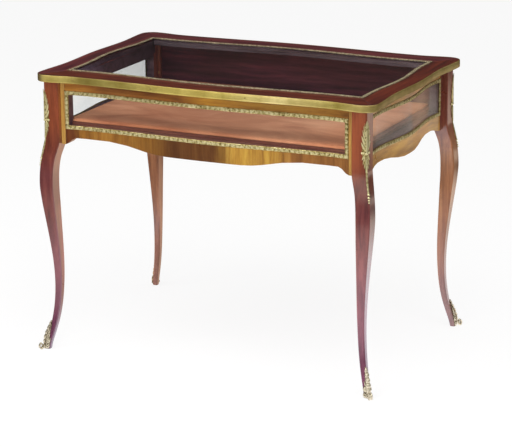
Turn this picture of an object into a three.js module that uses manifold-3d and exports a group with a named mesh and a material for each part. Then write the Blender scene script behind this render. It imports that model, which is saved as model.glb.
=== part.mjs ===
// Glazed display table: a serpentine glass lid, hinged at the back, over a shallow case on four cabriole legs.
// Millimetres, +Z up, the front faces -Y. The origin is on the floor under the middle of the case.
// The case is joined from legs, rails, aprons, stiles and a back board. Gilt strips hold the four panes.
// The lid turns about the hinge pins behind the back legs, from shut to a little past upright.

import * as THREE from 'three';
import { mergeVertices } from 'three/addons/utils/BufferGeometryUtils.js';
import Module from 'manifold-3d';

const wasm = await Module();
wasm.setup();

// Overall sizes
const table_height = 760;
const lid_thickness = 18.6;
const lid_seat_gap = 0.4;
const fit_gap = 0.25;
const cut_overrun = 6;

// Case: outer faces of the square leg tops, and the frieze set back behind them
const case_half_length = 460;
const case_half_depth = 303;
const front_recess = 13;
const front_crest_rise = 6.5;
const front_hollow_depth = 6;
const front_hollow_share = 0.83;
const side_recess = 14;
const side_crest_rise = 10;
const side_hollow_depth = 5;
const side_hollow_share = 0.69;
const side_apron_ledge = 6;
const back_recess = 3;
const back_board_thickness = 18;

// Lid outline: how far the corner ears stand out past the case, and how the edges wave between them
const lid_side_overhang = 24;
const lid_front_overhang = 15;
const lid_corner_radius = 36;
const lid_front_crest_rise = 3.5;
const lid_front_hollow_depth = 10;
const lid_front_hollow_share = 0.8;
const lid_side_crest_fall = 1;
const lid_side_hollow_depth = 7;
const lid_side_hollow_share = 0.55;

// Glazed opening of the lid, measured at the outer edge of its gilt border: the rails' widths at its corners
const lid_side_rail_width = 59;
const lid_front_rail_width = 77;
const lid_window_front_crest_rise = 16;
const lid_window_front_hollow_depth = 1;
const lid_window_front_hollow_share = 0.8;
const lid_window_side_crest_rise = 11;
const lid_window_side_hollow_depth = 1;
const lid_window_side_hollow_share = 0.75;

// Lid glass, its border and the brass edge band
const lid_glass_thickness = 4;
const lid_border_width = 12;
const lid_border_thickness = 2.5;
const lid_sight_inset = 10.5;
const lid_seat_inset = 3;
const band_thickness = 2.2;
const band_bevel = 1.4;

// Frieze windows, measured at the outer edge of the gilt border
const top_rail_show = 24.6;
const window_height = 103;
const front_stile_show = 12.5;
const side_stile_show = 16;
const border_width = 10.5;
const border_thickness = 2.5;
const border_gap = 0.4;
const sight_inset = 9.3;
const seat_inset = 3;
const glass_thickness = 3.2;

// The raised section of a gilt strip: shares of its width from the outer edge, and of its thickness
const strip_section_shares = [[0, 0], [0, 0.45], [0.18, 0.9], [0.5, 1], [0.84, 0.7], [1, 0.3], [1, 0]];

// Shaped lower edge of the aprons: how far each part hangs below the windows
const front_centre_drop = 45.4;
const front_shoulder_drop = 23.4;
const side_centre_drop = 46.4;
const side_shoulder_drop = 30.4;
const apron_end_drop = 42;
const front_apron_shares = { flat_share: 0.26, shoulder_share: 0.67, bracket_share: 0.9, end_share: 0.975 };
const side_apron_shares = { flat_share: 0.1, shoulder_share: 0.58, bracket_share: 0.72, end_share: 0.95 };

// Legs: the square at the top, how far the knee stands out, and the worn edges
const leg_square = 42;
const knee_sweep = 15;
const leg_edge_bevel = 2.4;
const leg_arris_bevel = 1.8;
const leg_inner_bevel = 14;
const bevel_foot_share = 0.79;
const leg_height_shares = [
  1, 0.796, 0.772, 0.749, 0.722, 0.688, 0.655, 0.621, 0.587, 0.547, 0.499, 0.445,
  0.391, 0.337, 0.283, 0.236, 0.189, 0.148, 0.108, 0.074, 0.047, 0.024, 0.008, 0,
];
const leg_sweep_shares = [
  0, 0, 0.1, 0.32, 0.6, 0.84, 0.96, 0.99, 0.89, 0.7, 0.43, 0.12,
  -0.165, -0.4, -0.53, -0.545, -0.45, -0.265, 0.02, 0.35, 0.64, 0.88, 0.99, 1,
];
const leg_square_shares = [
  1, 1, 1, 0.975, 0.945, 0.94, 0.945, 0.945, 0.915, 0.87, 0.795, 0.71,
  0.63, 0.56, 0.505, 0.468, 0.445, 0.43, 0.415, 0.4, 0.385, 0.37, 0.355, 0.335,
];

// Gilt leg mount on the outer corner: a leaf that runs out into a thin fillet down the arris
const mount_top_drop = 21;
const mount_length = 208;
const mount_half_width = 15;
const mount_relief = 4;
const mount_edge = 0.9;
const mount_height_shares = [1, 0.94, 0.87, 0.78, 0.68, 0.6, 0.555, 0.5, 0.45, 0.4, 0.34, 0.2, 0.08, 0];
const mount_width_shares = [0.12, 0.3, 0.52, 0.68, 0.8, 1, 0.86, 0.64, 0.42, 0.24, 0.17, 0.17, 0.16, 0.12];
const mount_relief_shares = [0.35, 0.6, 0.8, 0.9, 1, 1, 0.9, 0.75, 0.6, 0.5, 0.45, 0.42, 0.4, 0.3];

// Gilt foot mount: a shoe with a curled toe and a leaf up the arris
const shoe_top_height = 78;
const shoe_ground_gap = 0.6;
const shoe_half_width = 12.5;
const shoe_relief = 14;
const shoe_height_shares = [1, 0.86, 0.72, 0.58, 0.46, 0.34, 0.22, 0.12, 0.04, 0];
const shoe_width_shares = [0.1, 0.28, 0.35, 0.37, 0.48, 0.92, 1, 1, 0.96, 0.9];
const shoe_relief_shares = [0.14, 0.25, 0.36, 0.46, 0.46, 0.46, 0.64, 1, 1, 0.8];

// Floor of the case: a board on the aprons and a bearer, with a velvet pad on it
const floor_thickness = 8.6;
const floor_edge_gap = 0.5;
const floor_front_lap = 9;
const pad_thickness = 8;
const pad_crown = 0.8;
const pad_edge_radius = 1.6;
const pad_side_margin = 12;
const pad_front_lap = 13.5;
const pad_back_margin = 13.5;
const bearer_width = 14;
const bearer_height = 15;
const bearer_end_gap = 23;

// Hinges: where they sit, their leaves, knuckles and pins
const hinge_place = 170;
const hinge_length = 60;
const hinge_reach = 3.4;
const knuckle_radius = 2.8;
const pin_bore_radius = 1.5;
const pin_radius = 1.4;
const pin_head_radius = 2.4;
const pin_head_length = 1.2;
const knuckle_count = 5;
const knuckle_gap = 0.3;
const leaf_thickness = 1.4;
const leaf_width = 19;
const knuckle_swing_gap = 0.5;
const round_sides = 16;

// How finely the waving edges are stepped
const crest_steps = 5;
const ear_steps = 3;
const corner_steps = 6;
const apron_steps = 3;

// Places that follow from the sizes above
const lid_underside = table_height - lid_thickness;
const case_top = lid_underside - lid_seat_gap;
const lid_half_length = case_half_length + lid_side_overhang;
const lid_half_depth = case_half_depth + lid_front_overhang;
const lid_window_half_length = lid_half_length - lid_side_rail_width;
const lid_window_half_depth = lid_half_depth - lid_front_rail_width;
const mount_top_height = case_top - mount_top_drop;
const mount_foot_height = mount_top_height - mount_length;
const leg_inner_x = case_half_length - leg_square;
const leg_inner_y = case_half_depth - leg_square;
const rail_end_x = leg_inner_x - fit_gap;
const rail_end_y = leg_inner_y - fit_gap;
const bearer_half_length = leg_inner_x - bearer_end_gap;
const window_top = case_top - top_rail_show;
const window_foot = window_top - window_height;
const front_window_end = leg_inner_x - front_stile_show;
const side_window_end = leg_inner_y - side_stile_show;
const seat_depth = glass_thickness + fit_gap + fit_gap;
const sight_foot = window_foot + sight_inset;
const floor_foot = sight_foot + fit_gap;
const floor_top = floor_foot + floor_thickness;
const back_face = case_half_depth - back_recess;
const back_inner_face = back_face - back_board_thickness;
const hinge_y = case_half_depth + hinge_reach;
const hinge_z = (lid_underside + case_top) / 2;

const woods = {
  mahogany: { color: 0x6e2f22, roughness: 0.35, metalness: 0 },
  veneer: { color: 0xa8752f, roughness: 0.35, metalness: 0 },
  dark_wood: { color: 0x3f2326, roughness: 0.6, metalness: 0 },
};
const metals = {
  brass: { color: 0xb7a45c, roughness: 0.3, metalness: 1 },
  gilt: { color: 0xc9b877, roughness: 0.4, metalness: 1 },
};
const pane = { color: 0xdfe8e6, roughness: 0.05, metalness: 0, transparent: true, opacity: 0.25 };
const velvet = { color: 0xb07a5e, roughness: 0.9, metalness: 0 };

const table = new THREE.Group();

// Adds one named piece to the table
function addPiece(name, geometry, finish) {
  const mesh = new THREE.Mesh(geometry, new THREE.MeshStandardMaterial(finish));
  mesh.name = name;
  table.add(mesh);
}

// Rises smoothly from 0 to 1 as the share of the way goes from 0 to 1
function ease(way) {
  const held = Math.min(Math.max(way, 0), 1);
  return (1 - Math.cos(Math.PI * held)) / 2;
}

// A waving edge that faces outwards: it swells at the middle, falls to a hollow and rises to the ear
function wavingEdge(span, crest, hollow, ear, hollow_share) {
  const half = [];
  for (let i = 0; i < crest_steps; i += 1) {
    const share = i / crest_steps;
    half.push({ along: share * hollow_share * span, out: crest + (hollow - crest) * ease(share) });
  }
  for (let i = 0; i <= ear_steps; i += 1) {
    const share = i / ear_steps;
    const along = (hollow_share + (1 - hollow_share) * share) * span;
    half.push({ along, out: hollow + (ear - hollow) * ease(share) });
  }
  const mirrored = half.slice(1).reverse().map((point) => ({ along: -point.along, out: point.out }));
  return [...mirrored, ...half];
}

// How far out the edge stands at one place along it
function outAt(edge, along) {
  const next = edge.findIndex((point) => point.along >= along);
  if (next <= 0) {
    return edge[next === 0 ? 0 : edge.length - 1].out;
  }
  const before = edge[next - 1];
  const after = edge[next];
  const share = (along - before.along) / (after.along - before.along);
  return before.out + (after.out - before.out) * share;
}

// The places along an edge from one end to another, with every bend of the edge between them
function placesBetween(edge, from, to) {
  const bends = edge.map((point) => point.along).filter((along) => along > from && along < to);
  return [from, ...bends, to];
}

// Puts a point of a side of the case into the table: along it, out from the middle, and up
const sides = {
  front: (along, out, up) => new THREE.Vector3(along, -out, up),
  back: (along, out, up) => new THREE.Vector3(along, out, up),
  left: (along, out, up) => new THREE.Vector3(-out, along, up),
  right: (along, out, up) => new THREE.Vector3(out, along, up),
};

// The corner of the table that a leg stands at
const corners = {
  front_left: { x: -1, y: -1 },
  front_right: { x: 1, y: -1 },
  back_left: { x: -1, y: 1 },
  back_right: { x: 1, y: 1 },
};

// Twice the signed area of a flat outline
function doubleArea(points) {
  let sum = 0;
  points.forEach((point, i) => {
    const next = points[(i + 1) % points.length];
    sum += point.x * next.y - next.x * point.y;
  });
  return sum;
}

// The triangles that close one ring, turned the way the ring runs
function capFaces(ring) {
  const normal = new THREE.Vector3();
  ring.forEach((point, i) => {
    const next = ring[(i + 1) % ring.length];
    normal.x += (point.y - next.y) * (point.z + next.z);
    normal.y += (point.z - next.z) * (point.x + next.x);
    normal.z += (point.x - next.x) * (point.y + next.y);
  });
  const size = new THREE.Vector3(Math.abs(normal.x), Math.abs(normal.y), Math.abs(normal.z));
  let flat = ring.map((point) => new THREE.Vector2(point.x, point.y));
  if (size.x > size.y && size.x > size.z) {
    flat = ring.map((point) => new THREE.Vector2(point.y, point.z));
  } else if (size.y > size.z) {
    flat = ring.map((point) => new THREE.Vector2(point.x, point.z));
  }
  const way = Math.sign(doubleArea(flat));
  return THREE.ShapeUtils.triangulateShape(flat, []).map(([a, b, c]) => {
    const same = Math.sign(doubleArea([flat[a], flat[b], flat[c]])) === way;
    return same ? [a, b, c] : [a, c, b];
  });
}

// A closed solid through a row of rings that all have the same number of points
function loft(rings) {
  const count = rings[0].length;
  const points = rings.flat();
  const faces = [];
  for (let r = 0; r < rings.length - 1; r += 1) {
    for (let i = 0; i < count; i += 1) {
      const a = r * count + i;
      const b = r * count + (i + 1) % count;
      faces.push([a, b, b + count], [a, b + count, a + count]);
    }
  }
  capFaces(rings[0]).forEach(([a, b, c]) => faces.push([a, c, b]));
  const last = (rings.length - 1) * count;
  capFaces(rings[rings.length - 1]).forEach(([a, b, c]) => faces.push([last + a, last + b, last + c]));
  let volume = 0;
  faces.forEach(([a, b, c]) => {
    volume += points[a].dot(new THREE.Vector3().crossVectors(points[b], points[c]));
  });
  const turned = volume < 0 ? faces.map(([a, b, c]) => [a, c, b]) : faces;
  const geometry = new THREE.BufferGeometry().setFromPoints(points);
  geometry.setIndex(turned.flat());
  geometry.computeVertexNormals();
  return geometry;
}

// An upright solid on a flat outline
function prism(outline, foot, top) {
  return loft([foot, top].map((up) => outline.map((point) => new THREE.Vector3(point.x, point.y, up))));
}

// A straight block between two corners
function block(low, high) {
  const outline = [
    new THREE.Vector2(low.x, low.y),
    new THREE.Vector2(high.x, low.y),
    new THREE.Vector2(high.x, high.y),
    new THREE.Vector2(low.x, high.y),
  ];
  return prism(outline, low.z, high.z);
}

// A round bar along X
function roundBar(from, to, radius, y, z) {
  const rings = [from, to].map((x) => {
    const ring = [];
    for (let i = 0; i < round_sides; i += 1) {
      const turn = 2 * Math.PI * i / round_sides;
      ring.push(new THREE.Vector3(x, y + radius * Math.cos(turn), z + radius * Math.sin(turn)));
    }
    return ring;
  });
  return loft(rings);
}

// A mesh as a solid that can be cut and joined
function toSolid(geometry) {
  const bare = geometry.clone();
  bare.deleteAttribute('normal');
  bare.deleteAttribute('uv');
  const merged = mergeVertices(bare);
  const vertProperties = Float32Array.from(merged.attributes.position.array);
  const triVerts = Uint32Array.from(merged.index.array);
  return new wasm.Manifold(new wasm.Mesh({ numProp: 3, vertProperties, triVerts }));
}

// A solid as a mesh again
function toGeometry(solid) {
  const mesh = solid.getMesh();
  const geometry = new THREE.BufferGeometry();
  geometry.setAttribute('position', new THREE.BufferAttribute(mesh.vertProperties, 3));
  geometry.setIndex(new THREE.BufferAttribute(mesh.triVerts, 1));
  geometry.computeVertexNormals();
  return geometry;
}

function cut(geometry, cutters) {
  return toGeometry(cutters.reduce((solid, cutter) => solid.subtract(toSolid(cutter)), toSolid(geometry)));
}

function join(geometries) {
  return toGeometry(geometries.map(toSolid).reduce((solid, next) => solid.add(next)));
}

// The four faces of the frieze, and how far back the inner face of each lies
const front_edge = wavingEdge(
  leg_inner_x,
  case_half_depth - front_recess + front_crest_rise,
  case_half_depth - front_recess - front_hollow_depth,
  case_half_depth - front_recess,
  front_hollow_share,
);
const side_edge = wavingEdge(
  leg_inner_y,
  case_half_length - side_recess + side_crest_rise,
  case_half_length - side_recess - side_hollow_depth,
  case_half_length - side_recess,
  side_hollow_share,
);
const front_frieze = {
  edge: front_edge,
  inner_face: leg_inner_y + fit_gap,
  apron_inner_face: leg_inner_y + fit_gap,
  window_end: front_window_end,
  rail_end: rail_end_x,
  centre_drop: front_centre_drop,
  shoulder_drop: front_shoulder_drop,
  shape: front_apron_shares,
};
const side_frieze = {
  edge: side_edge,
  inner_face: leg_inner_x + fit_gap,
  apron_inner_face: leg_inner_x - side_apron_ledge,
  window_end: side_window_end,
  rail_end: rail_end_y,
  centre_drop: side_centre_drop,
  shoulder_drop: side_shoulder_drop,
  shape: side_apron_shares,
};
const friezes = { front: front_frieze, left: side_frieze, right: side_frieze };

// A solid that follows a frieze face, from one depth behind it to the other or to a flat inner face
function alongFace(side, from, to, foot, top, front_inset, back_of) {
  const edge = friezes[side].edge;
  const rings = placesBetween(edge, from, to).map((along) => {
    const out = outAt(edge, along);
    const back = back_of(out);
    const place = sides[side];
    return [
      place(along, out - front_inset, foot(along)),
      place(along, out - front_inset, top),
      place(along, back, top),
      place(along, back, foot(along)),
    ];
  });
  return loft(rings);
}

// How low an apron hangs at one place along it
function apronFoot(frieze, along) {
  const share = Math.abs(along) / frieze.rail_end;
  const { flat_share, shoulder_share, bracket_share, end_share } = frieze.shape;
  const rise = ease((share - flat_share) / (shoulder_share - flat_share));
  const fall = ease((share - bracket_share) / (end_share - bracket_share));
  const shoulder = frieze.centre_drop + (frieze.shoulder_drop - frieze.centre_drop) * rise;
  return window_foot - (shoulder + (apron_end_drop - shoulder) * fall);
}

// A copy of a frieze edge with stations added where its apron bends
function edgeWithApronBends(frieze) {
  const { flat_share, shoulder_share, bracket_share, end_share } = frieze.shape;
  const bends = [];
  for (let i = 0; i <= apron_steps; i += 1) {
    bends.push(flat_share + (shoulder_share - flat_share) * i / apron_steps);
    bends.push(bracket_share + (end_share - bracket_share) * i / apron_steps);
  }
  const places = bends.flatMap((share) => [share * frieze.rail_end, -share * frieze.rail_end]);
  const added = places.map((along) => ({ along, out: outAt(frieze.edge, along) }));
  return [...frieze.edge, ...added].sort((a, b) => a.along - b.along);
}

// The rebate that a pane of the frieze lies in
function glassSeat(side) {
  const end = friezes[side].window_end - seat_inset;
  const foot = () => window_foot + seat_inset;
  return alongFace(side, -end, end, foot, window_top - seat_inset, -cut_overrun, (out) => out - seat_depth);
}

// Blocks that take a rail's corners off, so that it shoulders over the stiles
function shoulderCuts(side, foot, top) {
  const frieze = friezes[side];
  const inner = frieze.window_end - sight_inset - fit_gap;
  const outer = frieze.rail_end + cut_overrun;
  const deep = frieze.apron_inner_face - cut_overrun;
  return [-1, 1].map((end) => {
    const span = [end * inner, end * outer].sort((a, b) => a - b);
    return alongFace(side, span[0], span[1], () => foot, top, -cut_overrun, () => deep);
  });
}

function topRail(side) {
  const frieze = friezes[side];
  const end = frieze.window_end - fit_gap;
  const foot = window_top - sight_inset;
  const rail = alongFace(side, -end, end, () => foot, case_top, 0, () => frieze.inner_face);
  const shoulders = shoulderCuts(side, foot - cut_overrun, window_top + fit_gap);
  return cut(rail, [glassSeat(side), ...shoulders]);
}

function apron(side) {
  const frieze = friezes[side];
  const bent = edgeWithApronBends(frieze);
  const end = frieze.window_end - fit_gap;
  const place = sides[side];
  const rings = placesBetween(bent, -end, end).map((along) => {
    const out = outAt(frieze.edge, along);
    const foot = apronFoot(frieze, along);
    return [
      place(along, out, foot),
      place(along, out, sight_foot),
      place(along, frieze.apron_inner_face, sight_foot),
      place(along, frieze.apron_inner_face, foot),
    ];
  });
  const shoulders = shoulderCuts(side, window_foot - fit_gap, sight_foot + cut_overrun);
  return cut(loft(rings), [glassSeat(side), ...shoulders]);
}

// A stile fills from the leg to the border, with a tongue behind the border that carries the glass
function stile(side, end) {
  const frieze = friezes[side];
  const span = [end * (frieze.window_end - sight_inset), end * frieze.rail_end].sort((a, b) => a - b);
  const foot = window_foot - apron_end_drop;
  const body = alongFace(side, span[0], span[1], () => foot, case_top, 0, () => frieze.inner_face);
  const tongue = [end * (frieze.window_end - sight_inset - cut_overrun), end * frieze.window_end];
  tongue.sort((a, b) => a - b);
  const deep = () => frieze.inner_face - cut_overrun;
  const above = alongFace(side, ...tongue, () => window_top, case_top + cut_overrun, -cut_overrun, deep);
  const below = alongFace(side, ...tongue, () => foot - cut_overrun, window_foot, -cut_overrun, deep);
  return cut(body, [glassSeat(side), above, below]);
}

function friezeGlass(side) {
  const end = friezes[side].window_end - seat_inset - fit_gap;
  const foot = () => window_foot + seat_inset + fit_gap;
  const top = window_top - seat_inset - fit_gap;
  return alongFace(side, -end, end, foot, top, fit_gap, (out) => out - fit_gap - glass_thickness);
}

// One station of a strip, between a point of its outer line and one of its inner line
function stripRing(outer, inner, normal, thickness) {
  return strip_section_shares.map(([across_share, height_share]) => {
    const point = outer.clone().lerp(inner, across_share);
    return point.addScaledVector(normal, border_gap + thickness * height_share);
  });
}

// The four mitred strips round a frieze window
function friezeBorder(side) {
  const frieze = friezes[side];
  const place = sides[side];
  const normal = place(0, 1, 0);
  const outer_end = frieze.window_end;
  const inner_end = outer_end - border_width;
  const at = (along, up) => place(along, outAt(frieze.edge, along), up);
  const mitre_gap = fit_gap / 2;
  const strips = {};
  [['top', window_top, -1], ['bottom', window_foot, 1]].forEach(([name, level, inwards]) => {
    const inner_level = level + inwards * border_width;
    const ends = placesBetween(frieze.edge, -inner_end, inner_end);
    const rings = ends.map((along, i) => {
      const corner = i === 0 || i === ends.length - 1;
      const outer_along = corner ? Math.sign(along) * (outer_end - mitre_gap) : along;
      const inner_along = corner ? along - Math.sign(along) * mitre_gap : along;
      return stripRing(at(outer_along, level), at(inner_along, inner_level), normal, border_thickness);
    });
    strips[name] = loft(rings);
  });
  [['start', -1], ['end', 1]].forEach(([name, end]) => {
    const levels = [
      [window_foot + mitre_gap, window_foot + border_width + mitre_gap],
      [window_top - mitre_gap, window_top - border_width - mitre_gap],
    ];
    const rings = levels.map(([outer_level, inner_level]) => stripRing(
      at(end * outer_end, outer_level),
      at(end * inner_end, inner_level),
      normal,
      border_thickness,
    ));
    strips[name] = loft(rings);
  });
  return strips;
}

// The ring of a leg at one height, with its outer corner swept outwards and its edges bevelled
function legRing(corner, height, sweep, square, inner_bevel) {
  const u = case_half_length + sweep;
  const v = case_half_depth + sweep;
  const points = [
    [u, v - leg_arris_bevel],
    [u - leg_arris_bevel, v],
    [u - square + leg_edge_bevel, v],
    [u - square, v - leg_edge_bevel],
    [u - square, v - square + inner_bevel],
    [u - square + inner_bevel, v - square],
    [u - leg_edge_bevel, v - square],
    [u, v - square + leg_edge_bevel],
  ];
  return points.map(([x, y]) => new THREE.Vector3(corner.x * x, corner.y * y, height));
}

function leg(corner) {
  const rings = leg_height_shares.map((height_share, i) => legRing(
    corner,
    height_share * case_top,
    leg_sweep_shares[i] * knee_sweep,
    leg_square_shares[i] * leg_square,
    height_share > bevel_foot_share ? leg_inner_bevel : leg_edge_bevel,
  ));
  return loft(rings);
}

// Where the outer corner of a leg stands at one height
function legSweepAt(height) {
  const share = height / case_top;
  const below = leg_height_shares.findIndex((height_share) => height_share <= share);
  const upper = Math.max(below - 1, 0);
  const span = leg_height_shares[upper] - leg_height_shares[below];
  const part = span > 0 ? (share - leg_height_shares[below]) / span : 0;
  const sweep = leg_sweep_shares[below] + (leg_sweep_shares[upper] - leg_sweep_shares[below]) * part;
  return sweep * knee_sweep;
}

// The heights of a mount, with the bends of the leg between them
function mountHeights(foot, top, height_shares) {
  const own = height_shares.map((share) => foot + share * (top - foot));
  const bends = leg_height_shares.map((share) => share * case_top).filter((up) => up > foot && up < top);
  return [...own, ...bends].sort((a, b) => b - a);
}

// Reads a row of shares at one share of the height
function sharesAt(height_shares, shares, at) {
  const below = height_shares.findIndex((height_share) => height_share <= at);
  if (below <= 0) {
    return shares[below === 0 ? 0 : shares.length - 1];
  }
  const part = (at - height_shares[below]) / (height_shares[below - 1] - height_shares[below]);
  return shares[below] + (shares[below - 1] - shares[below]) * part;
}

// A gilt angle that wraps the outer corner of a leg, with a ridge down its middle
function cornerMount(corner, foot, top, tables, half_width, relief) {
  const rings = mountHeights(foot, top, tables.heights).map((up) => {
    const share = (up - foot) / (top - foot);
    const width = half_width * sharesAt(tables.heights, tables.widths, share);
    const proud = fit_gap + relief * sharesAt(tables.heights, tables.reliefs, share);
    const edge = fit_gap + mount_edge;
    const u = case_half_length + legSweepAt(up);
    const v = case_half_depth + legSweepAt(up);
    const points = [
      [u + fit_gap, v + fit_gap],
      [u + fit_gap, v - width],
      [u + edge, v - width],
      [u + proud, v + proud],
      [u - width, v + edge],
      [u - width, v + fit_gap],
    ];
    return points.map(([x, y]) => new THREE.Vector3(corner.x * x, corner.y * y, up));
  });
  return loft(rings);
}

function legMount(corner) {
  const tables = { heights: mount_height_shares, widths: mount_width_shares, reliefs: mount_relief_shares };
  return cornerMount(corner, mount_foot_height, mount_top_height, tables, mount_half_width, mount_relief);
}

function footMount(corner) {
  const tables = { heights: shoe_height_shares, widths: shoe_width_shares, reliefs: shoe_relief_shares };
  return cornerMount(corner, shoe_ground_gap, shoe_top_height, tables, shoe_half_width, shoe_relief);
}

// The solid back, straight across, with the same shaped lower edge as the front
function backBoard() {
  const bent = edgeWithApronBends(front_frieze);
  const place = sides.back;
  const rings = placesBetween(bent, -rail_end_x, rail_end_x).map((along) => {
    const foot = apronFoot(front_frieze, along);
    return [
      place(along, back_face, foot),
      place(along, back_face, case_top),
      place(along, back_inner_face, case_top),
      place(along, back_inner_face, foot),
    ];
  });
  return cut(loft(rings), hingePlaces().map((x) => lowerLeafSeat(x)));
}

// A floor outline that narrows at the front, where it passes between the stiles
function floorOutline(half_length, front, back) {
  const step = front_frieze.inner_face - floor_edge_gap - fit_gap;
  const narrow = Math.min(front_window_end - sight_inset - floor_edge_gap, half_length);
  return { half_length, narrow, step, front, back };
}

function outlinePoints(outline, inset) {
  const wide = outline.half_length - inset;
  const narrow = outline.narrow - inset;
  const front = outline.front - inset;
  const step = outline.step - inset;
  const back = outline.back - inset;
  return [
    new THREE.Vector2(-narrow, -front),
    new THREE.Vector2(narrow, -front),
    new THREE.Vector2(narrow, -step),
    new THREE.Vector2(wide, -step),
    new THREE.Vector2(wide, back),
    new THREE.Vector2(-wide, back),
    new THREE.Vector2(-wide, -step),
    new THREE.Vector2(-narrow, -step),
  ];
}

function floorBoard() {
  const front = front_frieze.apron_inner_face + floor_front_lap;
  const outline = floorOutline(leg_inner_x - floor_edge_gap, front, back_inner_face - floor_edge_gap);
  return prism(outlinePoints(outline, 0), floor_foot, floor_top);
}

// The velvet pad: rounded at its edges and a little full in the middle
function velvetPad() {
  const front = front_frieze.apron_inner_face + pad_front_lap;
  const outline = floorOutline(leg_inner_x - pad_side_margin, front, back_inner_face - pad_back_margin);
  const foot = floor_top + fit_gap;
  const crown_inset = pad_thickness + pad_thickness;
  const levels = [
    [pad_edge_radius, foot],
    [0, foot + pad_edge_radius],
    [0, foot + pad_thickness - pad_edge_radius],
    [pad_edge_radius, foot + pad_thickness],
    [crown_inset, foot + pad_thickness + pad_crown],
  ];
  const rings = levels.map(([inset, up]) => outlinePoints(outline, inset).map(
    (point) => new THREE.Vector3(point.x, point.y, up),
  ));
  return loft(rings);
}

function backBearer() {
  const low = new THREE.Vector3(
    -bearer_half_length,
    back_inner_face - fit_gap - bearer_width,
    sight_foot - bearer_height,
  );
  const high = new THREE.Vector3(bearer_half_length, back_inner_face - fit_gap, sight_foot);
  return block(low, high);
}

// The outline of the lid as points with their outward normals, from the middle of the front round by the right
function lidOutline() {
  const flat_x = lid_half_length - lid_corner_radius;
  const flat_y = lid_half_depth - lid_corner_radius;
  const front = wavingEdge(
    flat_x,
    lid_half_depth + lid_front_crest_rise,
    lid_half_depth - lid_front_hollow_depth,
    lid_half_depth,
    lid_front_hollow_share,
  );
  const side = wavingEdge(
    flat_y,
    lid_half_length - lid_side_crest_fall,
    lid_half_length - lid_side_hollow_depth,
    lid_half_length,
    lid_side_hollow_share,
  );
  const points = [];
  const addCorner = (x, y, start) => {
    for (let i = 1; i < corner_steps; i += 1) {
      const turn = start + Math.PI / 2 * i / corner_steps;
      points.push(new THREE.Vector2(
        x + lid_corner_radius * Math.cos(turn),
        y + lid_corner_radius * Math.sin(turn),
      ));
    }
  };
  front.forEach(({ along, out }) => points.push(new THREE.Vector2(along, -out)));
  addCorner(flat_x, -flat_y, -Math.PI / 2);
  side.forEach(({ along, out }) => points.push(new THREE.Vector2(out, along)));
  addCorner(flat_x, flat_y, 0);
  front.forEach(({ along, out }) => points.push(new THREE.Vector2(-along, out)));
  addCorner(-flat_x, flat_y, Math.PI / 2);
  side.forEach(({ along, out }) => points.push(new THREE.Vector2(-out, -along)));
  addCorner(-flat_x, -flat_y, Math.PI);
  return points.map((point, i) => {
    const before = points[(i + points.length - 1) % points.length];
    const after = points[(i + 1) % points.length];
    const run = after.clone().sub(before).normalize();
    return { point, normal: new THREE.Vector2(run.y, -run.x) };
  });
}

const lid_outline = lidOutline();
const lid_edge_count = crest_steps * 2 + ear_steps * 2 + 1;
const lid_quarter_count = lid_edge_count + corner_steps - 1;

// A point of the lid outline, moved inwards
function lidPoint(index, inset) {
  const { point, normal } = lid_outline[(index + lid_outline.length) % lid_outline.length];
  return point.clone().addScaledVector(normal, -inset);
}

// The window of the lid, moved inwards, as four waving lines that meet in sharp corners
function lidWindow(inset) {
  const half_length = lid_window_half_length - inset;
  const half_depth = lid_window_half_depth - inset;
  const front = wavingEdge(
    half_length,
    half_depth + lid_window_front_crest_rise,
    half_depth - lid_window_front_hollow_depth,
    half_depth,
    lid_window_front_hollow_share,
  );
  const side = wavingEdge(
    half_depth,
    half_length + lid_window_side_crest_rise,
    half_length - lid_window_side_hollow_depth,
    half_length,
    lid_window_side_hollow_share,
  );
  return {
    front: front.map(({ along, out }) => new THREE.Vector2(along, -out)),
    right: side.map(({ along, out }) => new THREE.Vector2(out, along)),
    back: front.map(({ along, out }) => new THREE.Vector2(-along, out)),
    left: side.map(({ along, out }) => new THREE.Vector2(-out, -along)),
  };
}

function windowOutline(inset) {
  const lines = lidWindow(inset);
  return Object.values(lines).flatMap((line) => line.slice(0, -1));
}

// One mitred rail of the lid frame: the outline from corner to corner, then the window back again
function lidRail(side, turn) {
  const inset = band_thickness + fit_gap;
  const half_corner = corner_steps / 2;
  const start = turn * lid_quarter_count - half_corner;
  const outer = [];
  for (let i = start; i <= start + lid_quarter_count; i += 1) {
    outer.push(lidPoint(i, inset));
  }
  const inner = lidWindow(lid_sight_inset)[side].slice().reverse();
  const mitre_gap = fit_gap / 2;
  const first = outer[0].clone().sub(inner[inner.length - 1]).normalize();
  const last = outer[outer.length - 1].clone().sub(inner[0]).normalize();
  const start_shift = new THREE.Vector2(-first.y, first.x).multiplyScalar(mitre_gap);
  const end_shift = new THREE.Vector2(last.y, -last.x).multiplyScalar(mitre_gap);
  outer[0].add(start_shift);
  inner[inner.length - 1].add(start_shift);
  outer[outer.length - 1].add(end_shift);
  inner[0].add(end_shift);
  const seat_foot = table_height - lid_glass_thickness - fit_gap - fit_gap;
  const seat = prism(windowOutline(lid_seat_inset), seat_foot, table_height + cut_overrun);
  const hinge_cuts = side === 'back' ? hingePlaces().flatMap((x) => [upperLeafSeat(x), barrelPocket(x)]) : [];
  return cut(prism([...outer, ...inner], lid_underside, table_height), [seat, ...hinge_cuts]);
}

function lidGlass() {
  const top = table_height - fit_gap;
  return prism(windowOutline(lid_seat_inset + fit_gap), top - lid_glass_thickness, top);
}

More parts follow.
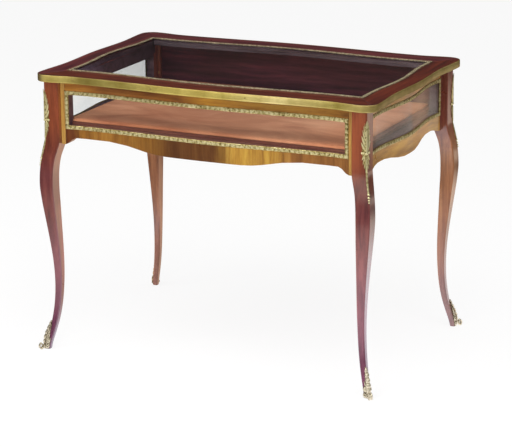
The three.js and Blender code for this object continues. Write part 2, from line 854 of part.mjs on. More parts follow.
// One mitred strip of the lid border
function lidBorder(side) {
  const outer = lidWindow(0)[side];
  const inner = lidWindow(lid_border_width)[side];
  const up = new THREE.Vector3(0, 0, 1);
  const mitre_gap = fit_gap / 2;
  const run = outer[outer.length - 1].clone().sub(outer[0]).normalize();
  const rings = outer.map((point, i) => {
    const end_shift = (i === 0 ? mitre_gap : 0) - (i === outer.length - 1 ? mitre_gap : 0);
    const shift = run.clone().multiplyScalar(end_shift);
    const from = point.clone().add(shift);
    const to = inner[i].clone().add(shift);
    return stripRing(
      new THREE.Vector3(from.x, from.y, table_height),
      new THREE.Vector3(to.x, to.y, table_height),
      up,
      lid_border_thickness,
    );
  });
  return loft(rings);
}

// One length of the brass band, from a joint in a front or back hollow round two corners to the other
function lidBand(first, last) {
  const rings = [];
  for (let i = first; i <= last; i += 1) {
    const section = [
      [band_thickness, lid_underside],
      [band_bevel, lid_underside],
      [0, lid_underside + band_bevel],
      [0, table_height - band_bevel],
      [band_bevel, table_height],
      [band_thickness, table_height],
    ];
    rings.push(section.map(([inset, up]) => {
      const point = lidPoint(i, inset);
      return new THREE.Vector3(point.x, point.y, up);
    }));
  }
  const clearance = new THREE.Vector3().subVectors(rings[1][0], rings[0][0]).setLength(fit_gap);
  rings[0].forEach((point) => point.add(clearance));
  return loft(rings);
}

function hingePlaces() {
  return [-hinge_place, hinge_place];
}

// The seats that the hinge leaves and the barrel lie in
function lowerLeafSeat(x) {
  const half = hinge_length / 2 + fit_gap;
  const low = new THREE.Vector3(x - half, hinge_y - leaf_width - fit_gap, case_top - leaf_thickness - fit_gap);
  const high = new THREE.Vector3(x + half, back_face + cut_overrun, case_top + cut_overrun);
  return block(low, high);
}

function upperLeafSeat(x) {
  const half = hinge_length / 2 + fit_gap;
  const low = new THREE.Vector3(x - half, hinge_y - leaf_width - fit_gap, lid_underside - cut_overrun);
  const high = new THREE.Vector3(x + half, hinge_y, lid_underside + leaf_thickness + fit_gap);
  return block(low, high);
}

function barrelPocket(x) {
  const half = hinge_length / 2 + pin_head_length + fit_gap + fit_gap;
  const reach = knuckle_radius + knuckle_swing_gap;
  const low = new THREE.Vector3(x - half, hinge_y - reach, lid_underside - cut_overrun);
  const high = new THREE.Vector3(x + half, hinge_y + reach, hinge_z + reach);
  return block(low, high);
}

// A leaf with its share of the knuckles: the lower one has the odd ones, the upper one the even ones
function hingeLeaf(x, first_knuckle, leaf_foot) {
  const start = x - hinge_length / 2;
  const pitch = hinge_length / knuckle_count;
  const plate_edge = hinge_y - knuckle_radius - knuckle_swing_gap;
  const tab_edge = hinge_y - (knuckle_radius + pin_bore_radius) / 2;
  const plate = block(
    new THREE.Vector3(start, hinge_y - leaf_width, leaf_foot),
    new THREE.Vector3(start + hinge_length, plate_edge, leaf_foot + leaf_thickness),
  );
  const pieces = [plate];
  for (let k = first_knuckle; k < knuckle_count; k += 2) {
    const from = start + k * pitch + knuckle_gap / 2;
    const to = start + (k + 1) * pitch - knuckle_gap / 2;
    pieces.push(roundBar(from, to, knuckle_radius, hinge_y, hinge_z));
    pieces.push(block(
      new THREE.Vector3(from, plate_edge - leaf_thickness, leaf_foot),
      new THREE.Vector3(to, tab_edge, leaf_foot + leaf_thickness),
    ));
  }
  const bore = roundBar(start - cut_overrun, start + hinge_length + cut_overrun, pin_bore_radius, hinge_y, hinge_z);
  return cut(join(pieces), [bore]);
}

function hingePin(x) {
  const start = x - hinge_length / 2;
  const end = start + hinge_length;
  const shank = roundBar(start - pin_head_length, end, pin_radius, hinge_y, hinge_z);
  const head_face = start - fit_gap / 2;
  const head = roundBar(head_face - pin_head_length, head_face, pin_head_radius, hinge_y, hinge_z);
  return join([shank, head]);
}

// Legs with their gilt mounts
Object.entries(corners).forEach(([name, corner]) => {
  addPiece(`leg_${name}`, leg(corner), woods.mahogany);
  addPiece(`leg_mount_${name}`, legMount(corner), metals.gilt);
  addPiece(`foot_mount_${name}`, footMount(corner), metals.gilt);
});

// Front and side friezes
addPiece('front_top_rail', topRail('front'), woods.veneer);
addPiece('front_apron', apron('front'), woods.veneer);
addPiece('front_stile_left', stile('front', -1), woods.veneer);
addPiece('front_stile_right', stile('front', 1), woods.veneer);
['left', 'right'].forEach((side) => {
  addPiece(`${side}_top_rail`, topRail(side), woods.mahogany);
  addPiece(`${side}_apron`, apron(side), woods.veneer);
  addPiece(`${side}_stile_front`, stile(side, -1), woods.mahogany);
  addPiece(`${side}_stile_back`, stile(side, 1), woods.mahogany);
});
['front', 'left', 'right'].forEach((side) => {
  const ends = side === 'front' ? { start: 'left', end: 'right' } : { start: 'front', end: 'back' };
  const strips = friezeBorder(side);
  addPiece(`${side}_glass`, friezeGlass(side), pane);
  addPiece(`${side}_border_top`, strips.top, metals.gilt);
  addPiece(`${side}_border_bottom`, strips.bottom, metals.gilt);
  addPiece(`${side}_border_${ends.start}`, strips.start, metals.gilt);
  addPiece(`${side}_border_${ends.end}`, strips.end, metals.gilt);
});

// Back and floor
addPiece('back_board', backBoard(), woods.dark_wood);
addPiece('floor_board', floorBoard(), woods.dark_wood);
addPiece('back_bearer', backBearer(), woods.dark_wood);
addPiece('velvet_pad', velvetPad(), velvet);

// Lid
['front', 'right', 'back', 'left'].forEach((side, turn) => {
  addPiece(`lid_rail_${side}`, lidRail(side, turn), woods.mahogany);
  addPiece(`lid_border_${side}`, lidBorder(side), metals.gilt);
});
addPiece('lid_glass', lidGlass(), pane);
const front_joint = ear_steps;
const back_joint = 2 * lid_quarter_count + ear_steps;
addPiece('lid_band_right', lidBand(front_joint, back_joint), metals.brass);
addPiece('lid_band_left', lidBand(back_joint, front_joint + lid_outline.length), metals.brass);

// Hinges
hingePlaces().forEach((x, i) => {
  const name = ['left', 'right'][i];
  addPiece(`hinge_${name}_lower_leaf`, hingeLeaf(x, 0, case_top - leaf_thickness), metals.brass);
  addPiece(`hinge_${name}_upper_leaf`, hingeLeaf(x, 1, lid_underside), metals.brass);
  addPiece(`hinge_${name}_pin`, hingePin(x), metals.brass);
});

export default table;
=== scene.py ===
from collections import namedtuple
from contextlib import contextmanager
from math import cos, dist, exp, hypot, pi, radians, sin, sqrt

import bmesh
import bpy
import numpy as np
from mathutils import Matrix, Vector


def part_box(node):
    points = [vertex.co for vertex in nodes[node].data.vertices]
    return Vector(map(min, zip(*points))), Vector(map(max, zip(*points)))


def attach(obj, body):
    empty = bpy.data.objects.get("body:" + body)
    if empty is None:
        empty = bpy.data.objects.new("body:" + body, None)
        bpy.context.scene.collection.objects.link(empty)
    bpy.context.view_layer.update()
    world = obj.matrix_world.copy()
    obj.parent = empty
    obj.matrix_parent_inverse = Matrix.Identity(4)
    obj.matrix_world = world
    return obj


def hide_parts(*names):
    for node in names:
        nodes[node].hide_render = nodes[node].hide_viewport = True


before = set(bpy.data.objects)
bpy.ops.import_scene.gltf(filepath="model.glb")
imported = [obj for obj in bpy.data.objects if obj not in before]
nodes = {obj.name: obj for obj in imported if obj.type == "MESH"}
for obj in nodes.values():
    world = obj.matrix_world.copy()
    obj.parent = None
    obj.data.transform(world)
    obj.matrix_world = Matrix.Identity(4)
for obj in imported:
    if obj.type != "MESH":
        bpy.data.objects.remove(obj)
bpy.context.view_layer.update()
CASE = "case"
LID = "lid"
SIDES = ("front", "right", "back", "left")
CORNERS = {"front_left": (-1, -1), "front_right": (1, -1), "back_left": (-1, 1), "back_right": (1, 1)}

# Waves of the frieze, of the lid and of its pane: half the length, how far out the middle, hollows and ends
# stand, and where the hollows lie between the middle and the ends
Wave = namedtuple("Wave", "span crest hollow ear hollow_share")
FRONT_FACE = Wave(0.418, 0.2965, 0.284, 0.29, 0.83)
SIDE_FACE = Wave(0.261, 0.456, 0.441, 0.446, 0.69)
LID_FRONT = Wave(0.448, 0.3215, 0.308, 0.318, 0.8)
LID_SIDE = Wave(0.282, 0.483, 0.477, 0.484, 0.55)
PANE_FRONT = Wave(0.425, 0.257, 0.24, 0.241, 0.8)
PANE_SIDE = Wave(0.241, 0.436, 0.424, 0.425, 0.75)
WAVE_STEPS = 40
LID_CORNER = 0.036
LID_CORNER_STEPS = 12
FIT_GAP = 0.00025
JOIN_DISTANCE = 1e-6


# Handling of pieces
def alone(piece):
    """Selects one piece and nothing else."""
    bpy.ops.object.select_all(action="DESELECT")
    piece.select_set(True)
    bpy.context.view_layer.objects.active = piece


@contextmanager
def edit_mode(piece):
    """Opens a piece for editing, with its whole mesh selected."""
    alone(piece)
    bpy.ops.object.mode_set(mode="EDIT")
    bpy.ops.mesh.select_all(action="SELECT")
    yield
    bpy.ops.object.mode_set(mode="OBJECT")


def modify(piece, kind, **settings):
    """Gives a piece a modifier with its settings, and applies it."""
    modifier = piece.modifiers.new(kind.lower(), kind)
    for key, value in settings.items():
        setattr(modifier, key, value)
    alone(piece)
    bpy.ops.object.modifier_apply(modifier=modifier.name)


def settle(piece):
    """Puts a piece's place, turn and scale into its mesh."""
    alone(piece)
    bpy.ops.object.transform_apply(location=True, rotation=True, scale=True)


def copy_mesh(piece):
    """A copy of a piece with a mesh of its own."""
    twin = piece.copy()
    twin.data = piece.data.copy()
    bpy.context.collection.objects.link(twin)
    return twin


def joined(parts):
    """Joins pieces into one."""
    alone(parts[0])
    for part in parts:
        part.select_set(True)
    bpy.ops.object.join()
    return bpy.context.object


def finish_piece(piece, name, finish, body, slot, *replaced):
    """Names a finished piece, gives it its finish and fastens it to its body."""
    piece.name = name
    piece.data.materials.clear()
    piece.data.materials.append(finish)
    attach(piece, body)
    if replaced:
        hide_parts(*replaced)
    return piece


def merged_copy(node):
    """A copy of a CAD node as one joined skin with whole flat faces, free to be dressed."""
    piece = copy_mesh(nodes[node])
    piece.parent = None
    for key in list(piece.keys()):
        del piece[key]
    alone(piece)
    bpy.ops.mesh.customdata_custom_splitnormals_clear()
    with edit_mode(piece):
        bpy.ops.mesh.remove_doubles(threshold=JOIN_DISTANCE)
        bpy.ops.mesh.dissolve_limited(angle_limit=radians(0.3))
    return piece


def soften_edges(piece, width, segments=2):
    """Takes the sharp edges off a piece and shades its faces as whole surfaces."""
    alone(piece)
    bpy.ops.object.shade_smooth()
    modify(
        piece, "BEVEL", limit_method="ANGLE", angle_limit=radians(38), width=width, segments=segments,
        harden_normals=True, use_clamp_overlap=True,
    )


def face_outwards(piece, angle):
    """Turns every face outwards and shades smoothly over edges below an angle."""
    with edit_mode(piece):
        bpy.ops.mesh.normals_make_consistent(inside=False)
    bpy.ops.object.shade_smooth_by_angle(angle=radians(angle))


def set_relief(piece, levels):
    """Records how high each point stands, for the painted highlights on the high places and the dirt with
    painted shade in the hollows of the gilding.
    """
    piece.data.attributes.new("relief", "FLOAT", "POINT").data.foreach_set("value", levels)


# Waves
def wave(face):
    """Points (along, out) of a waving face: full at the middle, hollow, and out again to the ear."""
    points = []
    low = face.hollow_share
    for i in range(-WAVE_STEPS, WAVE_STEPS + 1):
        share = abs(i) / WAVE_STEPS
        if share <= low:
            start, end, turn = face.crest, face.hollow, pi * share / low
        else:
            start, end, turn = face.hollow, face.ear, pi * (share - low) / (1 - low)
        points.append((i / WAVE_STEPS * face.span, start + (end - start) * ((1 - cos(turn)) / 2)))
    return points


def out_at(face, along):
    """How far out a waving face stands at one place."""
    return float(np.interp(along, *zip(*wave(face))))


def placed(points, side):
    """Turns (along, out) points of a side into plan points, running anticlockwise seen from above."""
    points = [(along, -out) for along, out in points]
    for quarter in range(SIDES.index(side)):
        points = [(-y, x) for x, y in points]
    return points


def run_at(points, i):
    """The way that a line of points runs at one of them, by their first two values."""
    before, after = points[max(i - 1, 0)], points[min(i + 1, len(points) - 1)]
    return Vector((after[0] - before[0], after[1] - before[1])).normalized()


def lid_outline():
    """The outline of the lid as plan points, from the left end of the front, round by the right."""
    outline = []
    for quarter, side, edge, x, y in (
        (-90, "front", LID_FRONT, 1, -1), (0, "right", LID_SIDE, 1, 1),
        (90, "back", LID_FRONT, -1, 1), (180, "left", LID_SIDE, -1, -1),
    ):
        outline += placed(wave(edge), side)
        x, y = x * LID_FRONT.span, y * LID_SIDE.span
        for i in range(1, LID_CORNER_STEPS):
            turn = radians(quarter + 90 * i / LID_CORNER_STEPS)
            outline.append((x + LID_CORNER * cos(turn), y + LID_CORNER * sin(turn)))
    return outline


# Materials
def fill(node, values):
    """Sets a node's own settings by name, and its inputs by name or as i0, i1 and so on."""
    for key, value in values.items():
        if hasattr(node, key):
            setattr(node, key, value)
            continue
        socket = node.inputs[int(key[1:]) if key[1:].isdigit() else key]
        if isinstance(value, bpy.types.NodeSocket):
            node.id_data.links.new(value, socket)
        else:
            socket.default_value = value


class Paint:
    """Builds a node tree: nearly every method adds a node or two and gives what they put out."""

    def __init__(self, tree):
        self.tree = tree

    def add(self, kind, out=0, **values):
        node = self.tree.nodes.new(f"ShaderNode{kind}")
        fill(node, values)
        return node.outputs[out]

    def place(self):
        return self.add("TexCoord", "Object")

    def stretched(self, place, *scale):
        return self.add("Mapping", Vector=place, Scale=scale)

    def noise(self, place, scale, detail, **values):
        return self.add("TexNoise", "Fac", Vector=place, Scale=scale, Detail=detail, **values)

    def combine(self, operation, first, second):
        return self.add("Math", operation=operation, i0=first, i1=second)

    def times(self, first, second):
        return self.combine("MULTIPLY", first, second)

    def plus(self, first, second):
        return self.combine("ADD", first, second)

    def dot(self, first, second):
        return self.add("VectorMath", "Value", operation="DOT_PRODUCT", i0=first, i1=second)

    def spread(self, value, low, high, start=0.0, end=1.0, ease="LINEAR"):
        """Turns a value between low and high into one between start and end."""
        limits = {"From Min": low, "From Max": high, "To Min": start, "To Max": end}
        return self.add("MapRange", interpolation_type=ease, Value=value, **limits)

    def step(self, value, low, high):
        """A share that rises softly from 0 to 1 between two values."""
        return self.spread(value, low, high, ease="SMOOTHSTEP")

    def ramp(self, share, stops):
        """A colour ramp, with stops given as (place, red, green, blue)."""
        colour = self.add("ValToRGB", i0=share)
        elements = colour.node.color_ramp.elements
        while len(elements) < len(stops):
            elements.new(0.5)
        for element, (place, *tone) in zip(elements, stops):
            element.position = place
            element.color = (*tone, 1)
        return colour

    def blend(self, share, first, second, mode="MULTIPLY"):
        """Mixes two colours by a share."""
        return self.add("Mix", 2, data_type="RGBA", blend_type=mode, i0=share, i6=first, i7=second)

    def figured(self, place, colour, axis, low, high, waver, stops):
        """Changes the tone along one axis of the table, with wavering borders between the tones."""
        along = self.add("SeparateXYZ", "XYZ".index(axis), Vector=place)
        if waver:
            along = self.plus(along, self.times(self.noise(place, 9.0, 3.0), waver))
        return self.blend(1.0, colour, self.ramp(self.spread(along, low, high), stops))

    def ray(self, kind):
        return self.add("LightPath", f"Is {kind} Ray")

    def mix(self, share, first, second):
        return self.add("MixShader", i0=share, i1=first, i2=second)

    def coat(self, colour, roughness, relief, strength, depth, **values):
        """Gives the main shader its colour, gloss and small relief."""
        bump = self.add("Bump", Height=relief, Strength=strength, Distance=depth)
        main = {"Base Color": colour, "Roughness": roughness, "Normal": bump}
        fill(self.tree.nodes["Principled BSDF"], main | values)

    def show(self, shader):
        """Puts a shader in the place of the main one."""
        self.tree.nodes.remove(self.tree.nodes["Principled BSDF"])
        fill(self.tree.nodes["Material Output"], {"Surface": shader})


def material(build):
    """Lets a function that builds a node tree make materials by name."""

    def make(name, *values, **options):
        made = bpy.data.materials.new(name)
        made.use_nodes = True
        build(Paint(made.node_tree), *values, **options)
        return made

    return make


def srgb_stops(places, tones):
    """Stops of a ramp, from tones given from 0 to 255 and made linear for the shader."""
    stops = []
    for place, tone in zip(places, tones):
        shares = [channel / 255 for channel in tone]
        stops.append((place, *(((s + 0.055) / 1.055) ** 2.4 if s > 0.04 else s / 12.92 for s in shares)))
    return stops


GRAIN_TURNS = {"X": (0, 0, 0), "Y": (0, 0, radians(90)), "Z": (0, radians(90), 0)}


@material
def wood(paint, tones, grain, coat=1.0, roughness=0.28, figure=None):
    """Polished wood: long grain, broad patches of tone, fine pores and a soft, wavy varnish."""
    place = paint.place()
    turned = paint.add("Mapping", Vector=place, Rotation=GRAIN_TURNS[grain])
    along = paint.stretched(turned, 5.0, 75.0, 75.0)
    swayed = paint.add("VectorMath", operation="ADD", i0=along, i1=paint.noise(turned, 6.0, 2.0))
    streaks = paint.noise(swayed, 1.0, 6.0, Roughness=0.62)
    broad = paint.noise(paint.stretched(turned, 4.0, 22.0, 22.0), 1.0, 3.0)
    shade = paint.ramp(broad, ((0.3, 0.62, 0.56, 0.55), (0.62, 1.08, 1.06, 1.04)))
    colour = paint.blend(0.75, paint.ramp(streaks, srgb_stops((0.28, 0.5, 0.74), tones)), shade)
    if figure:
        colour = paint.figured(place, colour, *figure)
    pores = paint.noise(paint.stretched(turned, 60.0, 900.0, 900.0), 1.0, 2.0)
    colour = paint.blend(0.55, colour, paint.ramp(pores, ((0.3, 0.62, 0.55, 0.5), (0.46, 1, 1, 1))))
    gloss = paint.spread(paint.noise(place, 18.0, 4.0), 0.0, 1.0, roughness - 0.06, roughness + 0.12)
    relief = paint.plus(paint.times(paint.noise(place, 45.0, 2.0), 0.35), pores)
    paint.coat(colour, gloss, relief, 0.18, 0.0006, **{"Coat Weight": coat, "Coat Roughness": 0.09})


@material
def brass(paint, colour, tarnish, roughness, metal=1.0, figure=None):
    """Rolled brass: cloudy tarnish and small dents, dulled where it is less than all metal; a figure, where
    one is given, paints reflections along it.
    """
    place = paint.place()
    cloud = paint.noise(place, 16.0, 6.0, Roughness=0.6)
    tone = paint.ramp(cloud, srgb_stops((0.36, 0.6), (tarnish, colour)))
    if figure:
        tone = paint.figured(place, tone, *figure)
    gloss = paint.spread(cloud, 0.0, 1.0, roughness + 0.12, roughness - 0.06)
    paint.coat(tone, gloss, paint.noise(place, 140.0, 3.0), 0.12, 0.0008, Metallic=metal)


@material
def gilt_bronze(paint, tones, roughness):
    """Cast and gilded metal: painted highlight on the high places, brown dirt with painted shade in the
    hollows, unevenly worn.
    """
    place = paint.place()
    mottle = paint.noise(place, 230.0, 4.0)
    uneven = paint.plus(mottle, paint.times(paint.noise(place, 60.0, 2.0), 0.5))
    worn = paint.plus(paint.times(uneven, 1.6), -1.0)
    level = paint.plus(paint.add("Attribute", "Fac", attribute_name="relief"), worn)
    # High relief gets a painted highlight, low relief dirt with painted shade
    tone = paint.ramp(level, srgb_stops((0.2, 0.58, 0.98), tones))
    paint.coat(tone, roughness, mottle, 0.3, 0.0006, Metallic=0.75)


@material
def pane_glass(paint):
    """Thin clear glass: what is behind it shows unbent, with a mirror that grows at a slant."""
    clear = paint.add("BsdfTransparent", Color=(0.985, 0.99, 0.986, 1))
    mirror = paint.add("BsdfGlossy", Color=(0.95, 0.97, 0.97, 1), Roughness=0.02)
    steep = paint.combine("POWER", paint.add("LayerWeight", "Facing", Blend=0.5), 4.5)
    paint.show(paint.mix(paint.spread(steep, 0.0, 1.0, 0.04, 0.5), clear, mirror))


@material
def velvet_cloth(paint):
    """Short cotton velvet: the pile lies in brushed patches, pale along the lie and dark against it; painted
    light makes it lighter towards the front and towards the right.
    """
    place = paint.place()
    patches = paint.noise(paint.stretched(place, 4.5, 9.0, 9.0), 1.0, 4.0, Roughness=0.55, Distortion=0.8)
    tone = paint.ramp(patches, srgb_stops((0.34, 0.5, 0.68), VELVET))
    pile = paint.noise(place, 1400.0, 2.0)
    flecks = paint.ramp(pile, ((0.3, 0.8, 0.78, 0.77), (0.65, 1.08, 1.08, 1.08)))
    # Painted light: lighter towards the front, then across towards the right
    colour = paint.figured(place, paint.blend(0.8, tone, flecks), *PAD_FRONT_LIGHT)
    colour = paint.figured(place, colour, *PAD_LIGHT_ACROSS)
    paint.coat(colour, 0.95, paint.plus(pile, patches), 0.5, 0.0005, **{
        "Specular IOR Level": 0.15,
        "Sheen Weight": 0.12,
        "Sheen Roughness": 0.4,
        "Sheen Tint": (1.0, 0.8, 0.68, 1),
    })


# Changes of tone, most of them painted light and shade: the axis, where they begin and end, how much their
# borders waver, and the tones
# The front apron's veneer figure, with painted shade at its left end beside the stile
APRON_FIGURE_AND_SHADE = ("X", -0.42, 0.47, 0.05, (
    (0.0, 0.3, 0.16, 0.22), (0.075, 0.34, 0.2, 0.3), (0.105, 0.82, 0.8, 0.75), (0.34, 0.5, 0.46, 0.45),
    (0.4, 0.3, 0.24, 0.38), (0.53, 0.32, 0.26, 0.4), (0.6, 1.02, 1.22, 1.15), (0.72, 1.05, 1.24, 1.15),
    (0.78, 0.72, 0.66, 0.9), (1.0, 0.64, 0.58, 0.88),
))
RAIL_FIGURE = ("X", -0.42, 0.42, 0, (
    (0.0, 1.2, 1.12, 0.85), (0.15, 0.56, 0.44, 0.52), (0.42, 0.7, 0.58, 0.55), (0.52, 1.35, 1.42, 0.95),
    (0.75, 0.9, 1.0, 0.75), (1.0, 0.85, 0.85, 0.78),
))
# Painted light by height on the front legs: bluer low down for the floor's reflection in the varnish, darker
# at the knee as painted shade, warm red at the top
FRONT_LEG_LIGHT_BY_HEIGHT = ("Z", 0.0, 1.0, 0, (
    (0.0, 0.55, 0.5, 1.2), (0.1, 0.62, 0.56, 1.1), (0.22, 0.74, 0.66, 0.95), (0.38, 0.72, 0.62, 0.55),
    (0.49, 0.48, 0.4, 0.42), (0.56, 0.6, 0.46, 0.26), (0.62, 0.88, 0.68, 0.24),
))
# Painted light by height on the back legs and side stiles: bluer low down for the floor's reflection,
# lighter through the middle, darker at the top
BACK_LEG_LIGHT_BY_HEIGHT = ("Z", 0.0, 1.0, 0, (
    (0.0, 0.6, 0.72, 1.5), (0.14, 0.7, 0.8, 1.4), (0.25, 1.0, 1.12, 1.2), (0.5, 1.1, 1.36, 1.2),
    (0.6, 0.72, 0.56, 0.8),
))
# Painted reflections along the brass band: dark and bluish at the left corner, bright patches towards the
# right
BAND_PAINTED_REFLECTIONS = ("X", -0.483, 0.483, 0.04, (
    (0.0, 0.36, 0.32, 0.55), (0.035, 0.42, 0.38, 0.6), (0.06, 1.15, 1.15, 1.35), (0.18, 0.56, 0.56, 0.56),
    (0.33, 0.88, 0.88, 0.95), (0.48, 1.15, 1.15, 1.2), (0.6, 1.06, 1.06, 1.1), (0.75, 1.4, 1.45, 2.4),
    (0.91, 0.74, 0.74, 0.7), (0.96, 0.88, 0.88, 1.1), (1.0, 0.7, 0.68, 0.9),
))
# Along the left rails' inner faces: brighter and bluer towards the front as painted slate reflection, darker
# towards the back as painted shade
LEFT_SHEEN_BY_DEPTH = ("Y", -0.26, 0.14, 0.06, (
    (0.0, 1.7, 2.0, 2.8), (0.3, 1.3, 1.4, 1.9), (0.6, 0.6, 0.5, 0.62), (1.0, 0.45, 0.36, 0.42),
))
# Painted light on the velvet: lighter towards the front
PAD_FRONT_LIGHT = ("Y", -0.28, -0.04, 0.02, (
    (0.0, 1.25, 1.16, 1.12), (0.14, 1.32, 1.38, 1.38), (0.4, 1.2, 1.2, 1.18), (0.7, 1.06, 1.06, 1.06),
    (1.0, 1, 1, 1),
))
# Painted light across the velvet: darker left of the middle, lighter towards the right end
PAD_LIGHT_ACROSS = ("X", -0.4, 0.4, 0.08, (
    (0.0, 1, 1, 1), (0.1, 1, 1, 1), (0.27, 0.84, 0.76, 0.72), (0.43, 0.8, 0.74, 0.72),
    (0.62, 0.93, 0.95, 0.96), (0.82, 1.06, 1.14, 1.2), (1.0, 1.14, 1.1, 1.06),
))

MAHOGANY = ((106, 56, 60), (150, 84, 84), (176, 108, 100))
# A lighter, yellower copy of the leg mahogany for the back legs and side stiles, as painted light
BACK_MAHOGANY = ((114, 66, 44), (162, 98, 66), (188, 124, 84))
LID_PLUM = ((78, 28, 38), (128, 54, 57), (160, 78, 72))
# Slate grey for the inner faces of the top and lid rails: painted reflection and painted shade
SLATE_SHEEN_AND_SHADE = ((66, 55, 62), (104, 91, 102), (126, 114, 124))
VENEER = ((128, 80, 28), (172, 118, 44), (198, 148, 62))
VELVET = ((172, 110, 82), (194, 131, 98), (213, 152, 117))

leg_wood = wood("leg_mahogany", MAHOGANY, "Z", figure=FRONT_LEG_LIGHT_BY_HEIGHT)
# The back legs and side stiles get the lighter copy of the mahogany: painted light
back_leg_wood = wood("back_leg_mahogany", BACK_MAHOGANY, "Z", figure=BACK_LEG_LIGHT_BY_HEIGHT)
# The lid rails are one mahogany in tones by side: the front and right copies are redder and lighter as
# painted highlight, the back and left are plum
lid_wood_front = wood("lid_mahogany_front", ((71, 24, 13), (119, 45, 24), (152, 68, 35)), "X")
lid_wood_back = wood("lid_mahogany_back", LID_PLUM, "X")
lid_wood_left = wood("lid_mahogany_left", LID_PLUM, "Y")
lid_wood_right = wood("lid_mahogany_right", ((74, 25, 14), (126, 48, 26), (160, 72, 38)), "Y")
apron_veneer = wood("apron_veneer", VENEER, "Z", figure=APRON_FIGURE_AND_SHADE)
rail_veneer = wood("rail_veneer", VENEER, "X", figure=RAIL_FIGURE)
# The sides' veneer is a lighter copy of the front's, as painted light on the side faces
side_veneer = wood("side_veneer", ((152, 100, 34), (204, 148, 54), (228, 178, 74)), "Y")
banding = wood("stile_banding", ((146, 104, 46), (184, 140, 68), (206, 164, 90)), "Z")
dark_wood = wood("dark_back_wood", ((40, 16, 28), (76, 34, 50), (112, 52, 66)), "X", 0.4, 0.45)
board_wood = wood("board_wood", ((76, 42, 36), (118, 68, 58), (146, 92, 76)), "X", 0.4, 0.5)
# Dark finishes as painted shade on faces inside the case and towards the windows; the front apron's ledge
# gets a lighter painted shade
inner_shade = wood("dark_lining", ((58, 38, 46), (88, 64, 76), (106, 84, 94)), "X", 0.5, 0.4)
ledge_wood = wood("ledge_wood", ((98, 60, 54), (149, 103, 90), (176, 132, 112)), "X", 0.5, 0.4)
lid_lining = wood("lid_lining", SLATE_SHEEN_AND_SHADE, "X", 0.5, 0.4)
left_lining = wood("left_lining", SLATE_SHEEN_AND_SHADE, "X", 0.5, 0.4, LEFT_SHEEN_BY_DEPTH)
# The band's figure paints reflections onto its brass
band_brass = brass("band_brass", (214, 194, 104), (182, 160, 76), 0.32, 0.55, BAND_PAINTED_REFLECTIONS)
hinge_brass = brass("hinge_brass", (214, 190, 116), (160, 134, 74), 0.34)
gilt = gilt_bronze("gilt_bronze", ((104, 84, 44), (194, 176, 108), (248, 238, 184)), 0.42)
worn_gilt = gilt_bronze("worn_gilt", ((80, 66, 48), (142, 126, 98), (208, 194, 158)), 0.5)
shoe_gilt = gilt_bronze("shoe_gilt", ((106, 94, 74), (172, 161, 134), (218, 208, 182)), 0.45)
glass = pane_glass("pane_glass")
velvet = velvet_cloth("rose_velvet")


# Wooden pieces: the CAD solids with softened edges
def dress(node, finish, body, slot, width=0.0006):
    piece = merged_copy(node)
    soften_edges(piece, width)
    return finish_piece(piece, f"{node}_wood", finish, body, slot, node)


# By default the chosen faces get the dark finish that paints shade
def refinish_facing(piece, *ways, finish=inner_shade):
    """Gives the faces of a piece that look one of the ways another finish."""
    piece.data.materials.append(finish)
    index = len(piece.data.materials) - 1
    for face in piece.data.polygons:
        if any(face.normal.dot(Vector(way)) > 0.7 for way in ways):
            face.material_index = index


# The aprons' inner faces and tops get painted shade, and the top rails' inner faces get painted slate
# reflection and shade
for side, inward, rail, apron, slot, top, wall, ledge in (
    ("front", (0, 1, 0), rail_veneer, apron_veneer, "veneer", lid_wood_front, lid_lining, ledge_wood),
    ("left", (1, 0, 0), side_veneer, side_veneer, "mahogany", lid_wood_left, left_lining, inner_shade),
    ("right", (-1, 0, 0), side_veneer, side_veneer, "mahogany", lid_wood_left, lid_lining, inner_shade),
):
    top_rail = dress(f"{side}_top_rail", rail, CASE, slot)
    refinish_facing(top_rail, inward, finish=wall)
    refinish_facing(top_rail, (0, 0, 1), finish=top)
    refinish_facing(dress(f"{side}_apron", apron, CASE, "veneer"), inward, (0, 0, 1), finish=ledge)
# The stiles' faces towards the windows and into the case get painted shade
for side, way in (("left", 1), ("right", -1)):
    refinish_facing(dress(f"front_stile_{side}", banding, CASE, "veneer"), (0, 1, 0), (way, 0, 0))
    for end, along in (("front", 1), ("back", -1)):
        refinish_facing(dress(f"{side}_stile_{end}", back_leg_wood, CASE, "mahogany"), (0, along, 0))
# The lid rails' inner faces get painted slate reflection and shade
for side, finish, inward, wall in (
    ("front", lid_wood_front, (0, 1, 0), lid_lining),
    ("back", lid_wood_back, (0, -1, 0), lid_lining),
    ("left", lid_wood_left, (1, 0, 0), left_lining),
    ("right", lid_wood_right, (-1, 0, 0), lid_lining),
):
    refinish_facing(dress(f"lid_rail_{side}", finish, LID, "mahogany"), inward, finish=wall)
dress("back_board", dark_wood, CASE, "dark_wood", 0.001)
dress("floor_board", board_wood, CASE, "dark_wood", 0.0008)
dress("back_bearer", dark_wood, CASE, "dark_wood", 0.001)

# Legs: the CAD solid cut finer along its length and eased into one sweep
LEG_CUTS = 4


def spline(knots, values, at):
    """A smooth curve through values at rising knots, read at one place."""
    k = int(np.clip(np.searchsorted(knots, at) - 1, 0, len(knots) - 2))
    step = knots[k + 1] - knots[k]
    share = (at - knots[k]) / step
    slopes = []
    for j in (k, k + 1):
        low, high = max(j - 1, 0), min(j + 1, len(knots) - 1)
        slopes.append((values[high] - values[low]) / (knots[high] - knots[low]) * step)
    a = 2 * share**3 - 3 * share**2 + 1
    b = share**3 - 2 * share**2 + share
    c = share**3 - share**2
    return a * values[k] + b * slopes[0] + (1 - a) * values[k + 1] + c * slopes[1]


